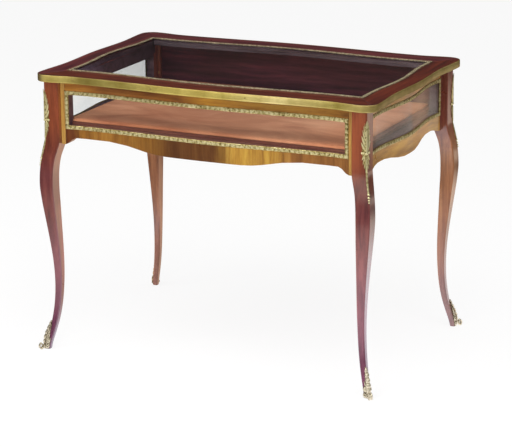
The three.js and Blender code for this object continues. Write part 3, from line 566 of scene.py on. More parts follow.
def leg_levels(corner):
    """The heights of a leg's rings and the box (low x, high x, low y, high y) of each, from the CAD leg."""
    points = np.array([vertex.co for vertex in nodes[f"leg_{corner}"].data.vertices])
    heights = np.unique(points[:, 2].round(6))
    boxes = []
    for height in heights:
        ring = points[np.abs(points[:, 2] - height) < 1e-5]
        boxes.append((ring[:, 0].min(), ring[:, 0].max(), ring[:, 1].min(), ring[:, 1].max()))
    return heights, np.array(boxes)


for corner in CORNERS:
    piece = merged_copy(f"leg_{corner}")
    heights, boxes = leg_levels(corner)
    with edit_mode(piece):
        bpy.ops.mesh.select_mode(type="EDGE")
        bpy.ops.mesh.quads_convert_to_tris()
        bpy.ops.mesh.tris_convert_to_quads(face_threshold=3.14, shape_threshold=3.14)
        bpy.ops.mesh.select_all(action="DESELECT")
        shape = bmesh.from_edit_mesh(piece.data)
        for edge in shape.edges:
            first, second = (vertex.co for vertex in edge.verts)
            edge.select_set(abs(first.z - second.z) > 1e-4)
        bmesh.update_edit_mesh(piece.data)
        bpy.ops.mesh.subdivide(number_cuts=LEG_CUTS)
    for vertex in piece.data.vertices:
        x, y, z = vertex.co
        old = [np.interp(z, heights, boxes[:, side]) for side in range(4)]
        new = spline(heights, boxes, z)
        vertex.co.x = new[0] + (x - old[0]) * (new[1] - new[0]) / (old[1] - old[0])
        vertex.co.y = new[2] + (y - old[2]) * (new[3] - new[2]) / (old[3] - old[2])
    soften_edges(piece, 0.0007)
    finish = back_leg_wood if corner.startswith("back") else leg_wood
    finish_piece(piece, f"leg_{corner}_wood", finish, CASE, "mahogany", f"leg_{corner}")

# Panes: the CAD glass, with the curved ones shaded as whole surfaces
for side, body in (("front", CASE), ("left", CASE), ("right", CASE), ("lid", LID)):
    pane = merged_copy(f"{side}_glass")
    soften_edges(pane, 0.0002, segments=1)
    finish_piece(pane, f"{side}_pane", glass, body, "glass", f"{side}_glass")

# Cast gilt strips: one leaf motif, repeated along each strip, bent to its line and mitred at its ends
STRIP_WIDTH = 0.0105
STRIP_HEIGHT = 0.0022
STRIP_LIFT = 0.0004
LID_STRIP_WIDTH = 0.012
LID_STRIP_HEIGHT = 0.0021
MOTIF_LENGTH = 0.0135
MOTIF_STEPS = 10
MOTIF_ROWS = (0, 0.04, 0.13, 0.22, 0.36, 0.5, 0.64, 0.78, 0.87, 0.96, 1)
SHEET_THICKNESS = 0.0005
# Windows of the frieze: the face that each lies in and half its length
WINDOWS = {"front": (FRONT_FACE, 0.4055), "left": (SIDE_FACE, 0.245), "right": (SIDE_FACE, 0.245)}
WINDOW_STEPS = 60
WINDOW_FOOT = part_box("front_border_bottom")[0].z
WINDOW_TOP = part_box("front_border_top")[1].z


def leaf_relief(along, across):
    """How high the cast strip stands: a rim at each side, a lobed leaf with a vein, a berry at its tip."""
    side = abs(across - 0.5) * 2
    if side > 0.99:
        return 0.0
    rim = 0.62 * exp(-((side - 0.78) / 0.12) ** 2)
    reach = sin(pi * min(along / 0.82, 1.0)) ** 0.7 if along < 0.82 else 0.0
    lobed = 0.66 * reach * (1 + 0.3 * cos(6 * pi * along))
    leaf = 0.0
    if lobed > 0.05 and side < lobed:
        leaf = 0.95 * sqrt(1 - (side / lobed) ** 2) - 0.3 * exp(-((side / 0.12) ** 2))
    berry_reach = hypot((along - 0.9) * MOTIF_LENGTH / STRIP_WIDTH * 2, side)
    berry = 0.9 * exp(-((berry_reach / 0.24) ** 2))
    return max(0.3, rim, leaf, berry)


def row_of_motifs(length, width, height):
    """Motifs in a row along X, with one spare at each end, starting one motif before zero."""
    count = max(round(length / MOTIF_LENGTH), 1)
    pitch = length / count
    rows = len(MOTIF_ROWS) - 1
    bpy.ops.mesh.primitive_grid_add(x_subdivisions=MOTIF_STEPS, y_subdivisions=rows, size=1)
    motif = bpy.context.object
    levels = []
    for vertex in motif.data.vertices:
        along = vertex.co.x + 0.5
        across = MOTIF_ROWS[int(round((vertex.co.y + 0.5) * rows))]
        levels.append(leaf_relief(along % 1.0, across))
        vertex.co = (along * pitch, across * width, levels[-1] * height)
        vertex.co.x -= pitch
    set_relief(motif, levels)
    modify(
        motif, "ARRAY", count=count + 2, relative_offset_displace=(1, 0, 0), use_merge_vertices=True,
        merge_threshold=JOIN_DISTANCE,
    )
    return motif


def bent_row(points, width, height, place):
    """A row of motifs as long as a line of plan points, moved by a rule and bent along the line."""
    strip = row_of_motifs(sum(dist(a, b) for a, b in zip(points, points[1:])), width, height)
    for vertex in strip.data.vertices:
        vertex.co = place(*vertex.co)
    data = bpy.data.curves.new("line", "CURVE")
    data.dimensions = "2D"
    run = data.splines.new("POLY")
    run.points.add(len(points) - 1)
    for point, (x, y) in zip(run.points, points):
        point.co = (x, y, 0, 1)
    line = bpy.data.objects.new("line", data)
    bpy.context.collection.objects.link(line)
    modify(strip, "CURVE", object=line)
    bpy.data.objects.remove(line)
    return strip


def finish_strip(strip, start, end, inside, finish, body, node):
    """Mitres a strip at both ends of its outer edge, gives it a back and finishes it."""
    run = (end - start).normalized()
    for place, outward in ((start + run * FIT_GAP, -run), (end - run * FIT_GAP, run)):
        with edit_mode(strip):
            bpy.ops.mesh.bisect(plane_co=place, plane_no=(outward + inside).normalized(), clear_outer=True)
    modify(strip, "SOLIDIFY", thickness=SHEET_THICKNESS, offset=-1)
    bpy.ops.object.shade_smooth_by_angle(angle=radians(50))
    finish_piece(strip, f"{node}_gilt", finish, body, "gilt", node)


def lid_strip(side):
    node = f"lid_border_{side}"
    points = placed(wave(PANE_FRONT if side in ("front", "back") else PANE_SIDE), side)
    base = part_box(node)[0].z
    strip = bent_row(points, LID_STRIP_WIDTH, LID_STRIP_HEIGHT, lambda x, y, z: (x, y, z + base))
    start, end = (Vector((*points[i], 0)) for i in (0, -1))
    run = (end - start).normalized()
    finish_strip(strip, start, end, Vector((-run.y, run.x, 0)), worn_gilt, LID, node)


def frieze_strip(side, name, level, corner, rise):
    """A strip along the top or bottom of a frieze window."""
    face, half = WINDOWS[side]
    alongs = [half * i / WINDOW_STEPS for i in range(-WINDOW_STEPS, WINDOW_STEPS + 1)]
    points = placed([(along, out_at(face, along)) for along in alongs], side)
    strip = bent_row(points, STRIP_WIDTH, STRIP_HEIGHT, lambda x, y, z: (x, -z - STRIP_LIFT, level + y))
    start, end = (Vector((*points[i], level + corner)) for i in (0, -1))
    finish_strip(strip, start, end, Vector((0, 0, rise)), gilt, CASE, f"{side}_border_{name}")


def frieze_upright(side, name, end):
    """A strip up one end of a frieze window."""
    face, half = WINDOWS[side]
    outer, inner = (
        placed([(end * along, out_at(face, end * along))], side)[0] for along in (half, half - STRIP_WIDTH)
    )
    strip = row_of_motifs(WINDOW_TOP - WINDOW_FOOT, STRIP_WIDTH, STRIP_HEIGHT)
    across = Vector((inner[0] - outer[0], inner[1] - outer[1], 0)).normalized()
    up = Vector((0, 0, 1))
    rise = across.cross(up) * -end
    foot = Vector((*outer, WINDOW_FOOT)) + rise * STRIP_LIFT
    strip.data.transform(Matrix.Translation(foot) @ Matrix((up, across, rise)).transposed().to_4x4())
    if end < 0:
        strip.data.flip_normals()
    top = foot + up * (WINDOW_TOP - WINDOW_FOOT)
    finish_strip(strip, foot, top, across, gilt, CASE, f"{side}_border_{name}")


for side in SIDES:
    lid_strip(side)
for side in WINDOWS:
    names = ("left", "right") if side == "front" else ("front", "back")
    frieze_strip(side, "bottom", WINDOW_FOOT, 0, 1)
    frieze_strip(side, "top", WINDOW_TOP - STRIP_WIDTH, STRIP_WIDTH, -1)
    for name, end in zip(names, (1, -1) if side == "left" else (-1, 1)):
        frieze_upright(side, name, end)

# Brass band round the lid: a moulded section bent along the outline in two lengths, with its nails
BAND_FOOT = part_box("lid_band_right")[0].z
BAND_SECTION = (
    (-0.0021, 0.0), (-0.0009, 0.0), (-0.0002, 0.0006), (-0.0001, 0.0016), (-0.0004, 0.0021),
    (-0.0002, 0.0027), (-0.00005, 0.006), (0.0, 0.0093), (-0.00005, 0.0126), (-0.0002, 0.0159),
    (-0.0004, 0.0165), (-0.0001, 0.017), (-0.0002, 0.018), (-0.0009, 0.0186), (-0.0021, 0.0186),
)


def band_length(name, points):
    """Extrudes the band's section along a run of the lid's outline."""
    count = len(BAND_SECTION)
    bpy.ops.mesh.primitive_circle_add(vertices=count, radius=0.01)
    band = bpy.context.object
    with edit_mode(band):
        for i, (x, y) in enumerate(points):
            if i > 0:
                bpy.ops.mesh.extrude_region_move()
            run = run_at(points, i)
            shape = bmesh.from_edit_mesh(band.data)
            shape.verts.ensure_lookup_table()
            for vertex, (out, up) in zip(shape.verts[-count:], BAND_SECTION):
                vertex.co = (x + run.y * out, y - run.x * out, BAND_FOOT + up)
        bmesh.update_edit_mesh(band.data)
        bpy.ops.mesh.edge_face_add()
        bpy.ops.mesh.select_all(action="DESELECT")
        shape = bmesh.from_edit_mesh(band.data)
        shape.verts.ensure_lookup_table()
        for vertex in shape.verts[:count]:
            vertex.select_set(True)
        shape.select_flush(True)
        bmesh.update_edit_mesh(band.data)
        bpy.ops.mesh.edge_face_add()
    face_outwards(band, 28)
    finish_piece(band, f"{name}_brass", band_brass, LID, "brass", name)


outline = lid_outline()
hollow = round(WAVE_STEPS * (1 - LID_FRONT.hollow_share))
half_way = len(outline) // 2
band_length("lid_band_right", outline[hollow:half_way + hollow + 1])
band_length("lid_band_left", outline[half_way + hollow:] + outline[:hollow + 1])

# Cast ornaments: modelled flat, as (across, out, up), then bent round the outer edge of the leg
EDGE_RADIUS = 0.002
LEAF_ROWS = 8
LEAF_COLUMNS = 4
LEAF_THICKNESS = 0.0009
CAST_THICKNESS = 0.0008
ORNAMENT_ANGLE = 48


def flat_grid(rows, columns, place):
    """A patch of rows and columns whose points are placed by shares up the patch and across it."""
    bpy.ops.mesh.primitive_grid_add(x_subdivisions=columns, y_subdivisions=rows, size=1)
    patch = bpy.context.object
    for vertex in patch.data.vertices:
        across, out, up = place(vertex.co.y + 0.5, vertex.co.x * 2)
        vertex.co = (across, -out, up)
    return patch


def thick(piece, thickness=CAST_THICKNESS):
    """Gives a patch a back, on the side away from the eye."""
    with edit_mode(piece):
        bpy.ops.mesh.remove_doubles(threshold=JOIN_DISTANCE)
        bpy.ops.mesh.normals_make_consistent(inside=False)
    if sum(face.normal.y * face.area for face in piece.data.polygons) > 0:
        piece.data.flip_normals()
    modify(piece, "SOLIDIFY", thickness=thickness, offset=-1)
    return piece


def leaflet(foot, tip, half_width, lift, curl, bow=0.0):
    """One lobe of a leaf from foot to tip, both (across, up): cupped, veined and curling out at the tip."""
    run = Vector(tip) - Vector(foot)
    side = Vector((run.y, -run.x)).normalized()

    def place(share, cross):
        width = half_width * min(1.0, 1.25 * (share + 0.1) ** 0.5) * (1 - share**2.2) ** 0.8
        centre = Vector(foot) + run * share + side * bow * sin(pi * share)
        point = centre + side * width * cross
        vein = 0.3 * half_width * exp(-((cross / 0.3) ** 2)) * (1 - share)
        out = lift + curl * share**2 + 0.45 * half_width * (1 - cross**2) - vein
        return point.x, out, point.y

    return thick(flat_grid(LEAF_ROWS, LEAF_COLUMNS, place), LEAF_THICKNESS)


def leaf_pair(foot, foot_up, tip, tip_up, half_width, lift, curl, bow):
    """A lobe and its mirror image."""
    return [
        leaflet((side * foot, foot_up), (side * tip, tip_up), half_width, lift, curl, side * bow)
        for side in (-1, 1)
    ]


def plate(levels, lift):
    """A thin fluted ground under a leaf: levels are (height, half width)."""
    heights, widths = zip(*levels)

    def place(share, cross):
        height = heights[0] + (heights[-1] - heights[0]) * share
        flute = 0.0004 * cos(4 * pi * cross)
        return cross * float(np.interp(height, heights, widths)), lift + flute, height

    return thick(flat_grid(24, 8, place))


def rib(points):
    """A half-round rib along points given as (across, up, out, radius)."""
    rows = len(points) - 1

    def place(share, cross):
        i = round(share * rows)
        across, up, out, radius = points[i]
        run = run_at(points, i)
        turn = cross * radians(115)
        return across + run.y * radius * sin(turn), out + radius * cos(turn), up - run.x * radius * sin(turn)

    patch = flat_grid(rows, 6, place)
    with edit_mode(patch):
        bpy.ops.mesh.edge_face_add()
    return thick(patch)


def scroll(centre, start_radius, end_radius, start, turns, thickness, lift, hand):
    """A rib wound into a C scroll round a centre given as (across, up)."""
    steps = 22
    points = []
    for i in range(steps + 1):
        share = i / steps
        angle = radians(start) + hand * turns * 2 * pi * share
        radius = start_radius + (end_radius - start_radius) * share**0.8
        girth = thickness * (0.55 + 0.45 * sin(pi * min(1, share * 1.1 + 0.1)))
        across, up = centre[0] + radius * cos(angle), centre[1] + radius * sin(angle)
        points.append((across, up, lift + 0.0012 * share, girth))
    return rib(points)


def bead(across, out, up, radius, flatness=1.0):
    """A ball, or a flattened boss."""
    place = (across, -out, up)
    bpy.ops.mesh.primitive_uv_sphere_add(segments=12, ring_count=8, radius=radius, location=place)
    ball = bpy.context.object
    ball.scale.y = flatness
    settle(ball)
    return ball


def casting(parts, depth):
    """Joins the parts of a flat casting, and takes its relief from how far each point stands out."""
    whole = joined(parts)
    set_relief(whole, [min(max(-vertex.co.y / depth, 0.0), 1.0) for vertex in whole.data.vertices])
    return whole


def leg_edge(corner, levels, up):
    """The outer edge of a leg at one height."""
    heights, boxes = levels
    x_way, y_way = CORNERS[corner]
    box = spline(heights, boxes, min(max(up, heights[0]), heights[-1]))
    return box[1] if x_way > 0 else box[0], box[3] if y_way > 0 else box[2]


def wrap_round_leg(piece, corner):
    """Bends a flat casting round the outer edge of a leg, following its sweep."""
    levels = leg_levels(corner)
    x_way, y_way = CORNERS[corner]
    arc = EDGE_RADIUS * pi / 4
    for vertex in piece.data.vertices:
        across, out, up = vertex.co.x, -vertex.co.y, vertex.co.z
        edge_x, edge_y = leg_edge(corner, levels, up)
        turn = min(max(across / arc, -1.0), 1.0) * pi / 4 + pi / 4
        reach_x = EDGE_RADIUS * sin(turn) - EDGE_RADIUS - max(-across - arc, 0.0)
        reach_y = EDGE_RADIUS * cos(turn) - EDGE_RADIUS - max(across - arc, 0.0)
        vertex.co.x = edge_x + x_way * (reach_x + out * sin(turn))
        vertex.co.y = edge_y + y_way * (reach_y + out * cos(turn))
    face_outwards(piece, ORNAMENT_ANGLE)


def flat_leg_mount():
    """The long mount at the shoulder: an acanthus leaf, a belt of buds, husks and a beaded rod."""
    parts = [plate((
        (0.59, 0.002), (0.604, 0.0055), (0.622, 0.0085), (0.637, 0.0125), (0.65, 0.011), (0.672, 0.0085),
        (0.694, 0.005), (0.712, 0.0016),
    ), 0.0007)]
    for *ends, width, curl in (
        (0.001, 0.641, 0.0135, 0.664, 0.004, 0.001), (0.001, 0.652, 0.0125, 0.681, 0.0038, 0.001),
        (0.0008, 0.665, 0.0098, 0.695, 0.0034, 0.0008), (0.0006, 0.678, 0.007, 0.706, 0.0028, 0.0006),
        (0.0004, 0.69, 0.0042, 0.714, 0.0021, 0.0005),
    ):
        parts += leaf_pair(*ends, width, 0.001, curl, 0.0012)
    parts.append(leaflet((0, 0.684), (0, 0.7195), 0.0026, 0.0012, 0.0008))
    parts.append(rib([(0, 0.64 + 0.006 * i, 0.0012, 0.0021 - 0.00012 * i) for i in range(12)]))
    parts.append(bead(0, 0.0014, 0.636, 0.0036, 0.75))
    for side in (-1, 1):
        parts.append(bead(side * 0.0066, 0.0012, 0.6365, 0.0027, 0.8))
        parts.append(bead(side * 0.0118, 0.001, 0.6365, 0.003, 0.85))
    for *ends, width, curl in (
        (0.003, 0.633, 0.012, 0.618, 0.003, 0.0008), (0.002, 0.63, 0.009, 0.606, 0.003, 0.0008),
        (0.0012, 0.622, 0.0056, 0.597, 0.0024, 0.0006),
    ):
        parts += leaf_pair(*ends, width, 0.0009, curl, -0.0008)
    parts.append(leaflet((0, 0.628), (0, 0.588), 0.003, 0.0014, 0.0006))
    parts.append(rib([(0, 0.6 - 0.0052 * i, 0.0006, 0.0019 + 0.0003 * cos(i * pi)) for i in range(13)]))
    for height, radius in ((0.534, 0.0029), (0.5265, 0.0025), (0.52, 0.0022), (0.5145, 0.0018)):
        parts.append(bead(0, 0.0008, height, radius))
    return casting(parts, 0.0029)


# The shoe by height: how far its spine stands out, and the half widths of its ground and of its spine
SHOE_LEVELS = (0.0, 0.003, 0.0095, 0.0172, 0.0225, 0.027, 0.036, 0.045, 0.056, 0.067, 0.0775)
SHOE_STAND = (0.0062, 0.0062, 0.0062, 0.0062, 0.0076, 0.0086, 0.0088, 0.0086, 0.0066, 0.0044, 0.001)
SHOE_GROUND = (0.0112, 0.012, 0.0125, 0.0125, 0.0122, 0.0112, 0.0062, 0.0048, 0.0044, 0.0034, 0.001)
SPINE_WIDTH = (0.005, 0.005, 0.005, 0.005, 0.0054, 0.0058, 0.0056, 0.0052, 0.0052, 0.0044, 0.0008)
SPINE_TOP = 0.0775
SPINE_LENGTH = 0.059
SPINE_ROWS = 40
SPINE_THICKNESS = 0.0024
LOBE_PITCH = 0.0125
CURL_ROWS = 30
CURL_RADIUS = 0.0066
CURL_OUT = 0.0106
CURL_UP = 0.0084


def at_level(up, values):
    return float(np.interp(up, SHOE_LEVELS, values))


def flat_shoe():
    """The shoe on the two faces of the foot: a keeled ground, a scrolled wing on each face and husks."""

    def keel(share, cross):
        up = 0.0006 + 0.0762 * share
        stand = max(at_level(up, SHOE_STAND) - 0.0036, 0)
        return cross * at_level(up, SHOE_GROUND), 0.0009 + stand * (1 - abs(cross)) ** 1.6, up

    parts = [thick(flat_grid(30, 10, keel))]
    for side in (-1, 1):
        parts.append(scroll((side * 0.0074, 0.0232), 0.0054, 0.0016, 90, 1.3, 0.0016, 0.0026, side))
        parts.append(scroll((side * 0.0072, 0.0085), 0.0056, 0.0016, 110, 1.15, 0.0016, 0.0024, -side))
        parts.append(bead(side * 0.0074, 0.003, 0.0232, 0.0016))
        parts.append(leaflet((side * 0.0104, 0.014), (side * 0.0112, 0.031), 0.0018, 0.0012, 0.0014))
        parts.append(leaflet((side * 0.0044, 0.029), (side * 0.0064, 0.044), 0.0022, 0.0024, 0.0026))
    return casting(parts, 0.0062)


def toe_roll(corner):
    """The lobed spine of a shoe, which leans away from the leg and ends in an open curl on the floor."""
    levels = leg_levels(corner)
    away = Vector((*CORNERS[corner], 0)).normalized()
    across_way = Vector((-away.y, away.x, 0))

    def edge(up):
        return Vector((*leg_edge(corner, levels, up), 0))

    path = []
    for i in range(SPINE_ROWS + 1):
        up = SPINE_TOP - SPINE_LENGTH * i / SPINE_ROWS
        lobe = (0.5 - 0.5 * cos(2 * pi * (SPINE_TOP - up) / LOBE_PITCH)) ** 0.6
        start = edge(up) + away * max(at_level(up, SHOE_STAND) - 0.0028 * (1 - lobe), 0.001)
        width = at_level(up, SPINE_WIDTH) * (0.68 + 0.32 * lobe)
        # The fourth value is a relief level: painted shade between the lobes, painted highlight on their
        # crowns and on the curl
        path.append((start.dot(away), up, width, 0.35 + 0.65 * lobe, 1.0))
    floor_edge = edge(0.0).dot(away)
    path.append((floor_edge + 0.0026, 0.014, 0.0046, 0.5, 0.6))
    for i in range(CURL_ROWS + 1):
        share = i / CURL_ROWS
        angle = radians(175 + 470 * share)
        radius = CURL_RADIUS - 0.003 * max(share - 0.45, 0.0) / 0.55
        reach = floor_edge + CURL_OUT + radius * cos(angle)
        width = 0.005 - 0.0008 * min(share * 3, 1.0)
        path.append((reach, CURL_UP + radius * sin(angle), width, 0.9, 0.2 - 1.2 * min(share * 6, 1.0)))
    rows = len(path) - 1
    relief = []

    def place(share, cross):
        i = round(share * rows)
        reach, up, width, level, bulge = path[i]
        run = run_at(path, i)
        swell = bulge * (0.003 * (1 - cross**2) - 0.0026)
        reach += -run.y * swell
        up = max(up + run.x * -swell, 0.0012)
        # Painted shade towards the sides of the spine
        relief.append(level * (1 - 0.25 * cross**2))
        point = away * reach + across_way * (cross * width + edge(0.0).dot(across_way))
        return point.x, -point.y, up

    roll = flat_grid(rows, 6, place)
    set_relief(roll, relief)
    modify(roll, "SOLIDIFY", thickness=SPINE_THICKNESS, offset=0)
    return roll


leg_mount = flat_leg_mount()
shoe = flat_shoe()
for corner in CORNERS:
    mount = copy_mesh(leg_mount)
    wrap_round_leg(mount, corner)
    finish_piece(mount, f"leg_mount_{corner}_gilt", gilt, CASE, "gilt", f"leg_mount_{corner}")
    foot = copy_mesh(shoe)
    wrap_round_leg(foot, corner)
    foot = joined([foot, toe_roll(corner)])
    face_outwards(foot, ORNAMENT_ANGLE)
    finish_piece(foot, f"foot_mount_{corner}_gilt", shoe_gilt, CASE, "gilt", f"foot_mount_{corner}")
bpy.data.objects.remove(leg_mount)
bpy.data.objects.remove(shoe)


# Nails in the band and bolt caps inside the legs
def domed_head(place, normal, radius, height):
    """A round nail head on a surface."""
    bpy.ops.mesh.primitive_uv_sphere_add(segments=16, ring_count=8, radius=radius)
    head = bpy.context.object
    head.scale.z = height / radius
    head.rotation_euler = Vector(normal).to_track_quat("Z", "Y").to_euler()
    head.location = place
    settle(head)
    bpy.ops.object.shade_smooth()
    return head


def on_wave(face, side, along):
    """The plan point of a waving edge and the way that it faces there."""
    out = out_at(face, along)
    slope = (out_at(face, along + 0.002) - out_at(face, along - 0.002)) / 0.004
    points = placed([(along, out), (along + 1, out + slope)], side)
    run = run_at(points, 0)
    return points[0], (run.y, -run.x)


NAIL_LEVEL = 0.7507
nails = []
for side in ("front", "back", "left", "right"):
    long_side = side in ("front", "back")
    face = LID_FRONT if long_side else LID_SIDE
    for along in (-0.369, -0.134, 0.134, 0.369) if long_side else (-0.19, 0.19):
        place, normal = on_wave(face, side, along)
        nails.append(domed_head((*place, NAIL_LEVEL), (*normal, 0), 0.0024, 0.0009))
finish_piece(joined(nails), "lid_band_nails", hinge_brass, LID, "brass")

CAP_PLACE = (0.425, 0.268, 0.654)
caps = []
for x_way, y_way in CORNERS.values():
    inward = Vector((-x_way, -y_way, 0)).normalized()
    place = Vector((x_way * CAP_PLACE[0], y_way * CAP_PLACE[1], CAP_PLACE[2]))
    seat = place + inward * 0.0006
    bpy.ops.mesh.primitive_cylinder_add(vertices=24, radius=0.0055, depth=0.0016, location=seat)
    washer = bpy.context.object
    washer.rotation_euler = inward.to_track_quat("Z", "Y").to_euler()
    settle(washer)
    soften_edges(washer, 0.0004)
    caps += [washer, domed_head(place + inward * 0.0012, inward, 0.0042, 0.0024)]
finish_piece(joined(caps), "leg_bolt_caps", hinge_brass, CASE, "brass")

# Hinges: brass leaves and pins, with slotted screws in the leaves
CASE_TOP = 0.741
LID_UNDERSIDE = 0.7414
SCREW_PLACES = (-0.0215, 0, 0.0215)
SCREW_LINE = 0.2945
SCREW_SUNK = 0.0003 - 0.00012
HINGE_MIDDLES = (-0.17, 0.17)

for node in nodes:
    if node.startswith("hinge_"):
        nodes[node].data.materials.clear()
        nodes[node].data.materials.append(hinge_brass)

bpy.ops.mesh.primitive_cylinder_add(vertices=20, radius=0.0024, depth=0.0006)
screw = bpy.context.object
bpy.ops.mesh.primitive_cube_add(size=1, location=(0, 0, 0.0003))
slot = bpy.context.object
slot.scale = (0.006, 0.0006, 0.0004)
settle(slot)
modify(screw, "BOOLEAN", object=slot)
bpy.data.objects.remove(slot)
for body, level, tilt in ((CASE, CASE_TOP - SCREW_SUNK, 0), (LID, LID_UNDERSIDE + SCREW_SUNK, pi)):
    heads = []
    for i, middle in enumerate(HINGE_MIDDLES):
        for j, along in enumerate(SCREW_PLACES):
            head = copy_mesh(screw)
            head.rotation_euler = (tilt, 0, radians(35 + 50 * i + 70 * j))
            head.location = (middle + along, SCREW_LINE, level)
            settle(head)
            heads.append(head)
    finish_piece(joined(heads), f"hinge_screws_{body}", hinge_brass, body, "brass")
bpy.data.objects.remove(screw)

# Velvet pad: the board's soft cover, swelled a little inside the space of its solid
PAD_VOXEL = 0.004
PAD_ROLL = 0.004
PAD_INSET = 0.0006
PAD_THINNING = 0.001
PAD_CAP = 0.0012
PAD_ROUGHNESS = 0.0004
PAD_FOOT, PAD_TOP = (corner.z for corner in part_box("velvet_pad"))
PAD_HEIGHT = PAD_TOP - PAD_FOOT
SWELL_FRAMES = 15


def swelled(pad, start):
    """The points of the pad after its cover has been blown up like cloth, held at its foot."""
    held = pad.vertex_groups.new(name="held")
    held.add([int(i) for i in np.where(start[:, 2] < PAD_FOOT + 0.0016)[0]], 1.0, "REPLACE")
    cloth = pad.modifiers.new("swell", "CLOTH")
    cloth.settings.quality = 5
    cloth.settings.mass = 0.3
    cloth.settings.use_pressure = True
    cloth.settings.uniform_pressure_force = 2.5
    cloth.settings.vertex_group_mass = "held"
    cloth.settings.effector_weights.gravity = 0
    scene = bpy.context.scene
    for step in range(1, SWELL_FRAMES + 1):
        scene.frame_set(step)
    blown = pad.evaluated_get(bpy.context.evaluated_depsgraph_get())
    moved = np.array([vertex.co for vertex in blown.data.vertices]) - start
    pad.modifiers.remove(cloth)
    scene.frame_set(1)
    lengths = np.linalg.norm(moved, axis=1, keepdims=True)
    return start + moved * np.minimum(1.0, PAD_CAP / np.maximum(lengths, 1e-9))


pad = merged_copy("velvet_pad")
for vertex in pad.data.vertices:
    x, y, z = vertex.co
    vertex.co.x = x * (1 - PAD_INSET / 0.406)
    vertex.co.y = y * (1 - PAD_INSET / 0.27)
    vertex.co.z = PAD_FOOT + (z - PAD_FOOT) * (1 - PAD_THINNING / PAD_HEIGHT)
modify(
    pad, "BEVEL", limit_method="ANGLE", angle_limit=radians(50), width=PAD_ROLL, segments=4,
    use_clamp_overlap=True,
)
modify(pad, "REMESH", mode="VOXEL", voxel_size=PAD_VOXEL)
skin = np.array([vertex.co for vertex in pad.data.vertices])
skin = swelled(pad, skin)
x, y, z = skin.T
rolls = (
    np.sin(x * 21 + 2.2 * np.sin(y * 9)) * np.cos(y * 17 + 1.3 * np.sin(x * 6))
    + 0.6 * np.sin(x * 47 + y * 31) * np.sin(y * 43 - x * 11)
)
share = np.clip((z - PAD_FOOT) / PAD_HEIGHT, 0, 1)
z = np.clip(z + PAD_ROUGHNESS * rolls * share, PAD_FOOT, PAD_TOP + PAD_ROUGHNESS)
pad.data.vertices.foreach_set("co", np.column_stack([x, y, z]).astype(np.float32).ravel())
modify(pad, "SMOOTH", factor=0.5, iterations=4)
bpy.ops.object.shade_smooth()
finish_piece(pad, "velvet_pad_soft", velvet, CASE, "velvet", "velvet_pad")

# Camera, placed as the photograph was taken
ROLL = radians(-0.5)
FOCAL_PIXELS = 2192.142
FRAME_WIDTH_PIXELS = 512
CAMERA_PLACE = Vector((2.470337, -5.156077, 1.967432))


def away_from(azimuth, elevation):
    """The way from the table to a place round it, by angles in degrees."""
    turn, rise = radians(azimuth), radians(elevation)
    return Vector((sin(turn) * cos(rise), -cos(turn) * cos(rise), sin(rise)))


camera_data = bpy.data.cameras.new("camera")
camera_data.sensor_width = 36
camera_data.lens = FOCAL_PIXELS / FRAME_WIDTH_PIXELS * camera_data.sensor_width
camera = bpy.data.objects.new("camera", camera_data)
bpy.context.collection.objects.link(camera)
backwards = away_from(25.501, 16.037)
level_right = (-backwards).cross(Vector((0, 0, 1))).normalized()
level_up = level_right.cross(-backwards)
right = level_right * cos(ROLL) + level_up * sin(ROLL)
up = -level_right * sin(ROLL) + level_up * cos(ROLL)
turn = Matrix((right, up, backwards)).transposed()
camera.matrix_world = Matrix.Translation(CAMERA_PLACE) @ turn.to_4x4()
bpy.context.scene.camera = camera

# Light: an even studio, three soft lamps, a white paper floor, and a room and cards that only gloss sees
FLOOR_RADIUS = 14.0
ROOM_RADIUS = 9.0
WHITE = (1, 1, 1, 1)
# In gloss the floor glows a little dimmer and warm behind the left legs: painted reflection
LEFT_WAY = (1, -0.478, 0)
LEFT_DIMMING = 0.2
LEFT_TINT = (1.0, 0.66, 0.46, 1)
LEFT_GLOW = (0.65, 2.0, 0.85)
NEAR_GLOW = 1.5
FAR_GLOW = 0.06
# Bright patches of the floor that only gloss sees, as painted reflections: direction, how wide they are,
# where they begin and end, and strength
GLOW_PATCHES = (
    ((0.43, 0.9, 0), 0.55, 2.3, 3.9, 0.85),
    ((0.43, 0.9, 0), 0.3, -1.0, 2.2, 0.4),
    ((0.43, 0.9, 0), 0.3, 1.2, 2.25, 0.6),
)

world = bpy.data.worlds.new("studio")
bpy.context.scene.world = world
world.use_nodes = True
even = world.node_tree.nodes["Background"]
fill(even, {"Color": WHITE, "Strength": 0.5})
paint = Paint(world.node_tree)
seen = paint.combine("MAXIMUM", paint.ray("Camera"), paint.ray("Glossy"))
seen = paint.combine("MAXIMUM", seen, paint.ray("Transmission"))
sky = paint.mix(seen, even.outputs[0], paint.add("Background", Color=WHITE))
fill(world.node_tree.nodes["World Output"], {"Surface": sky})


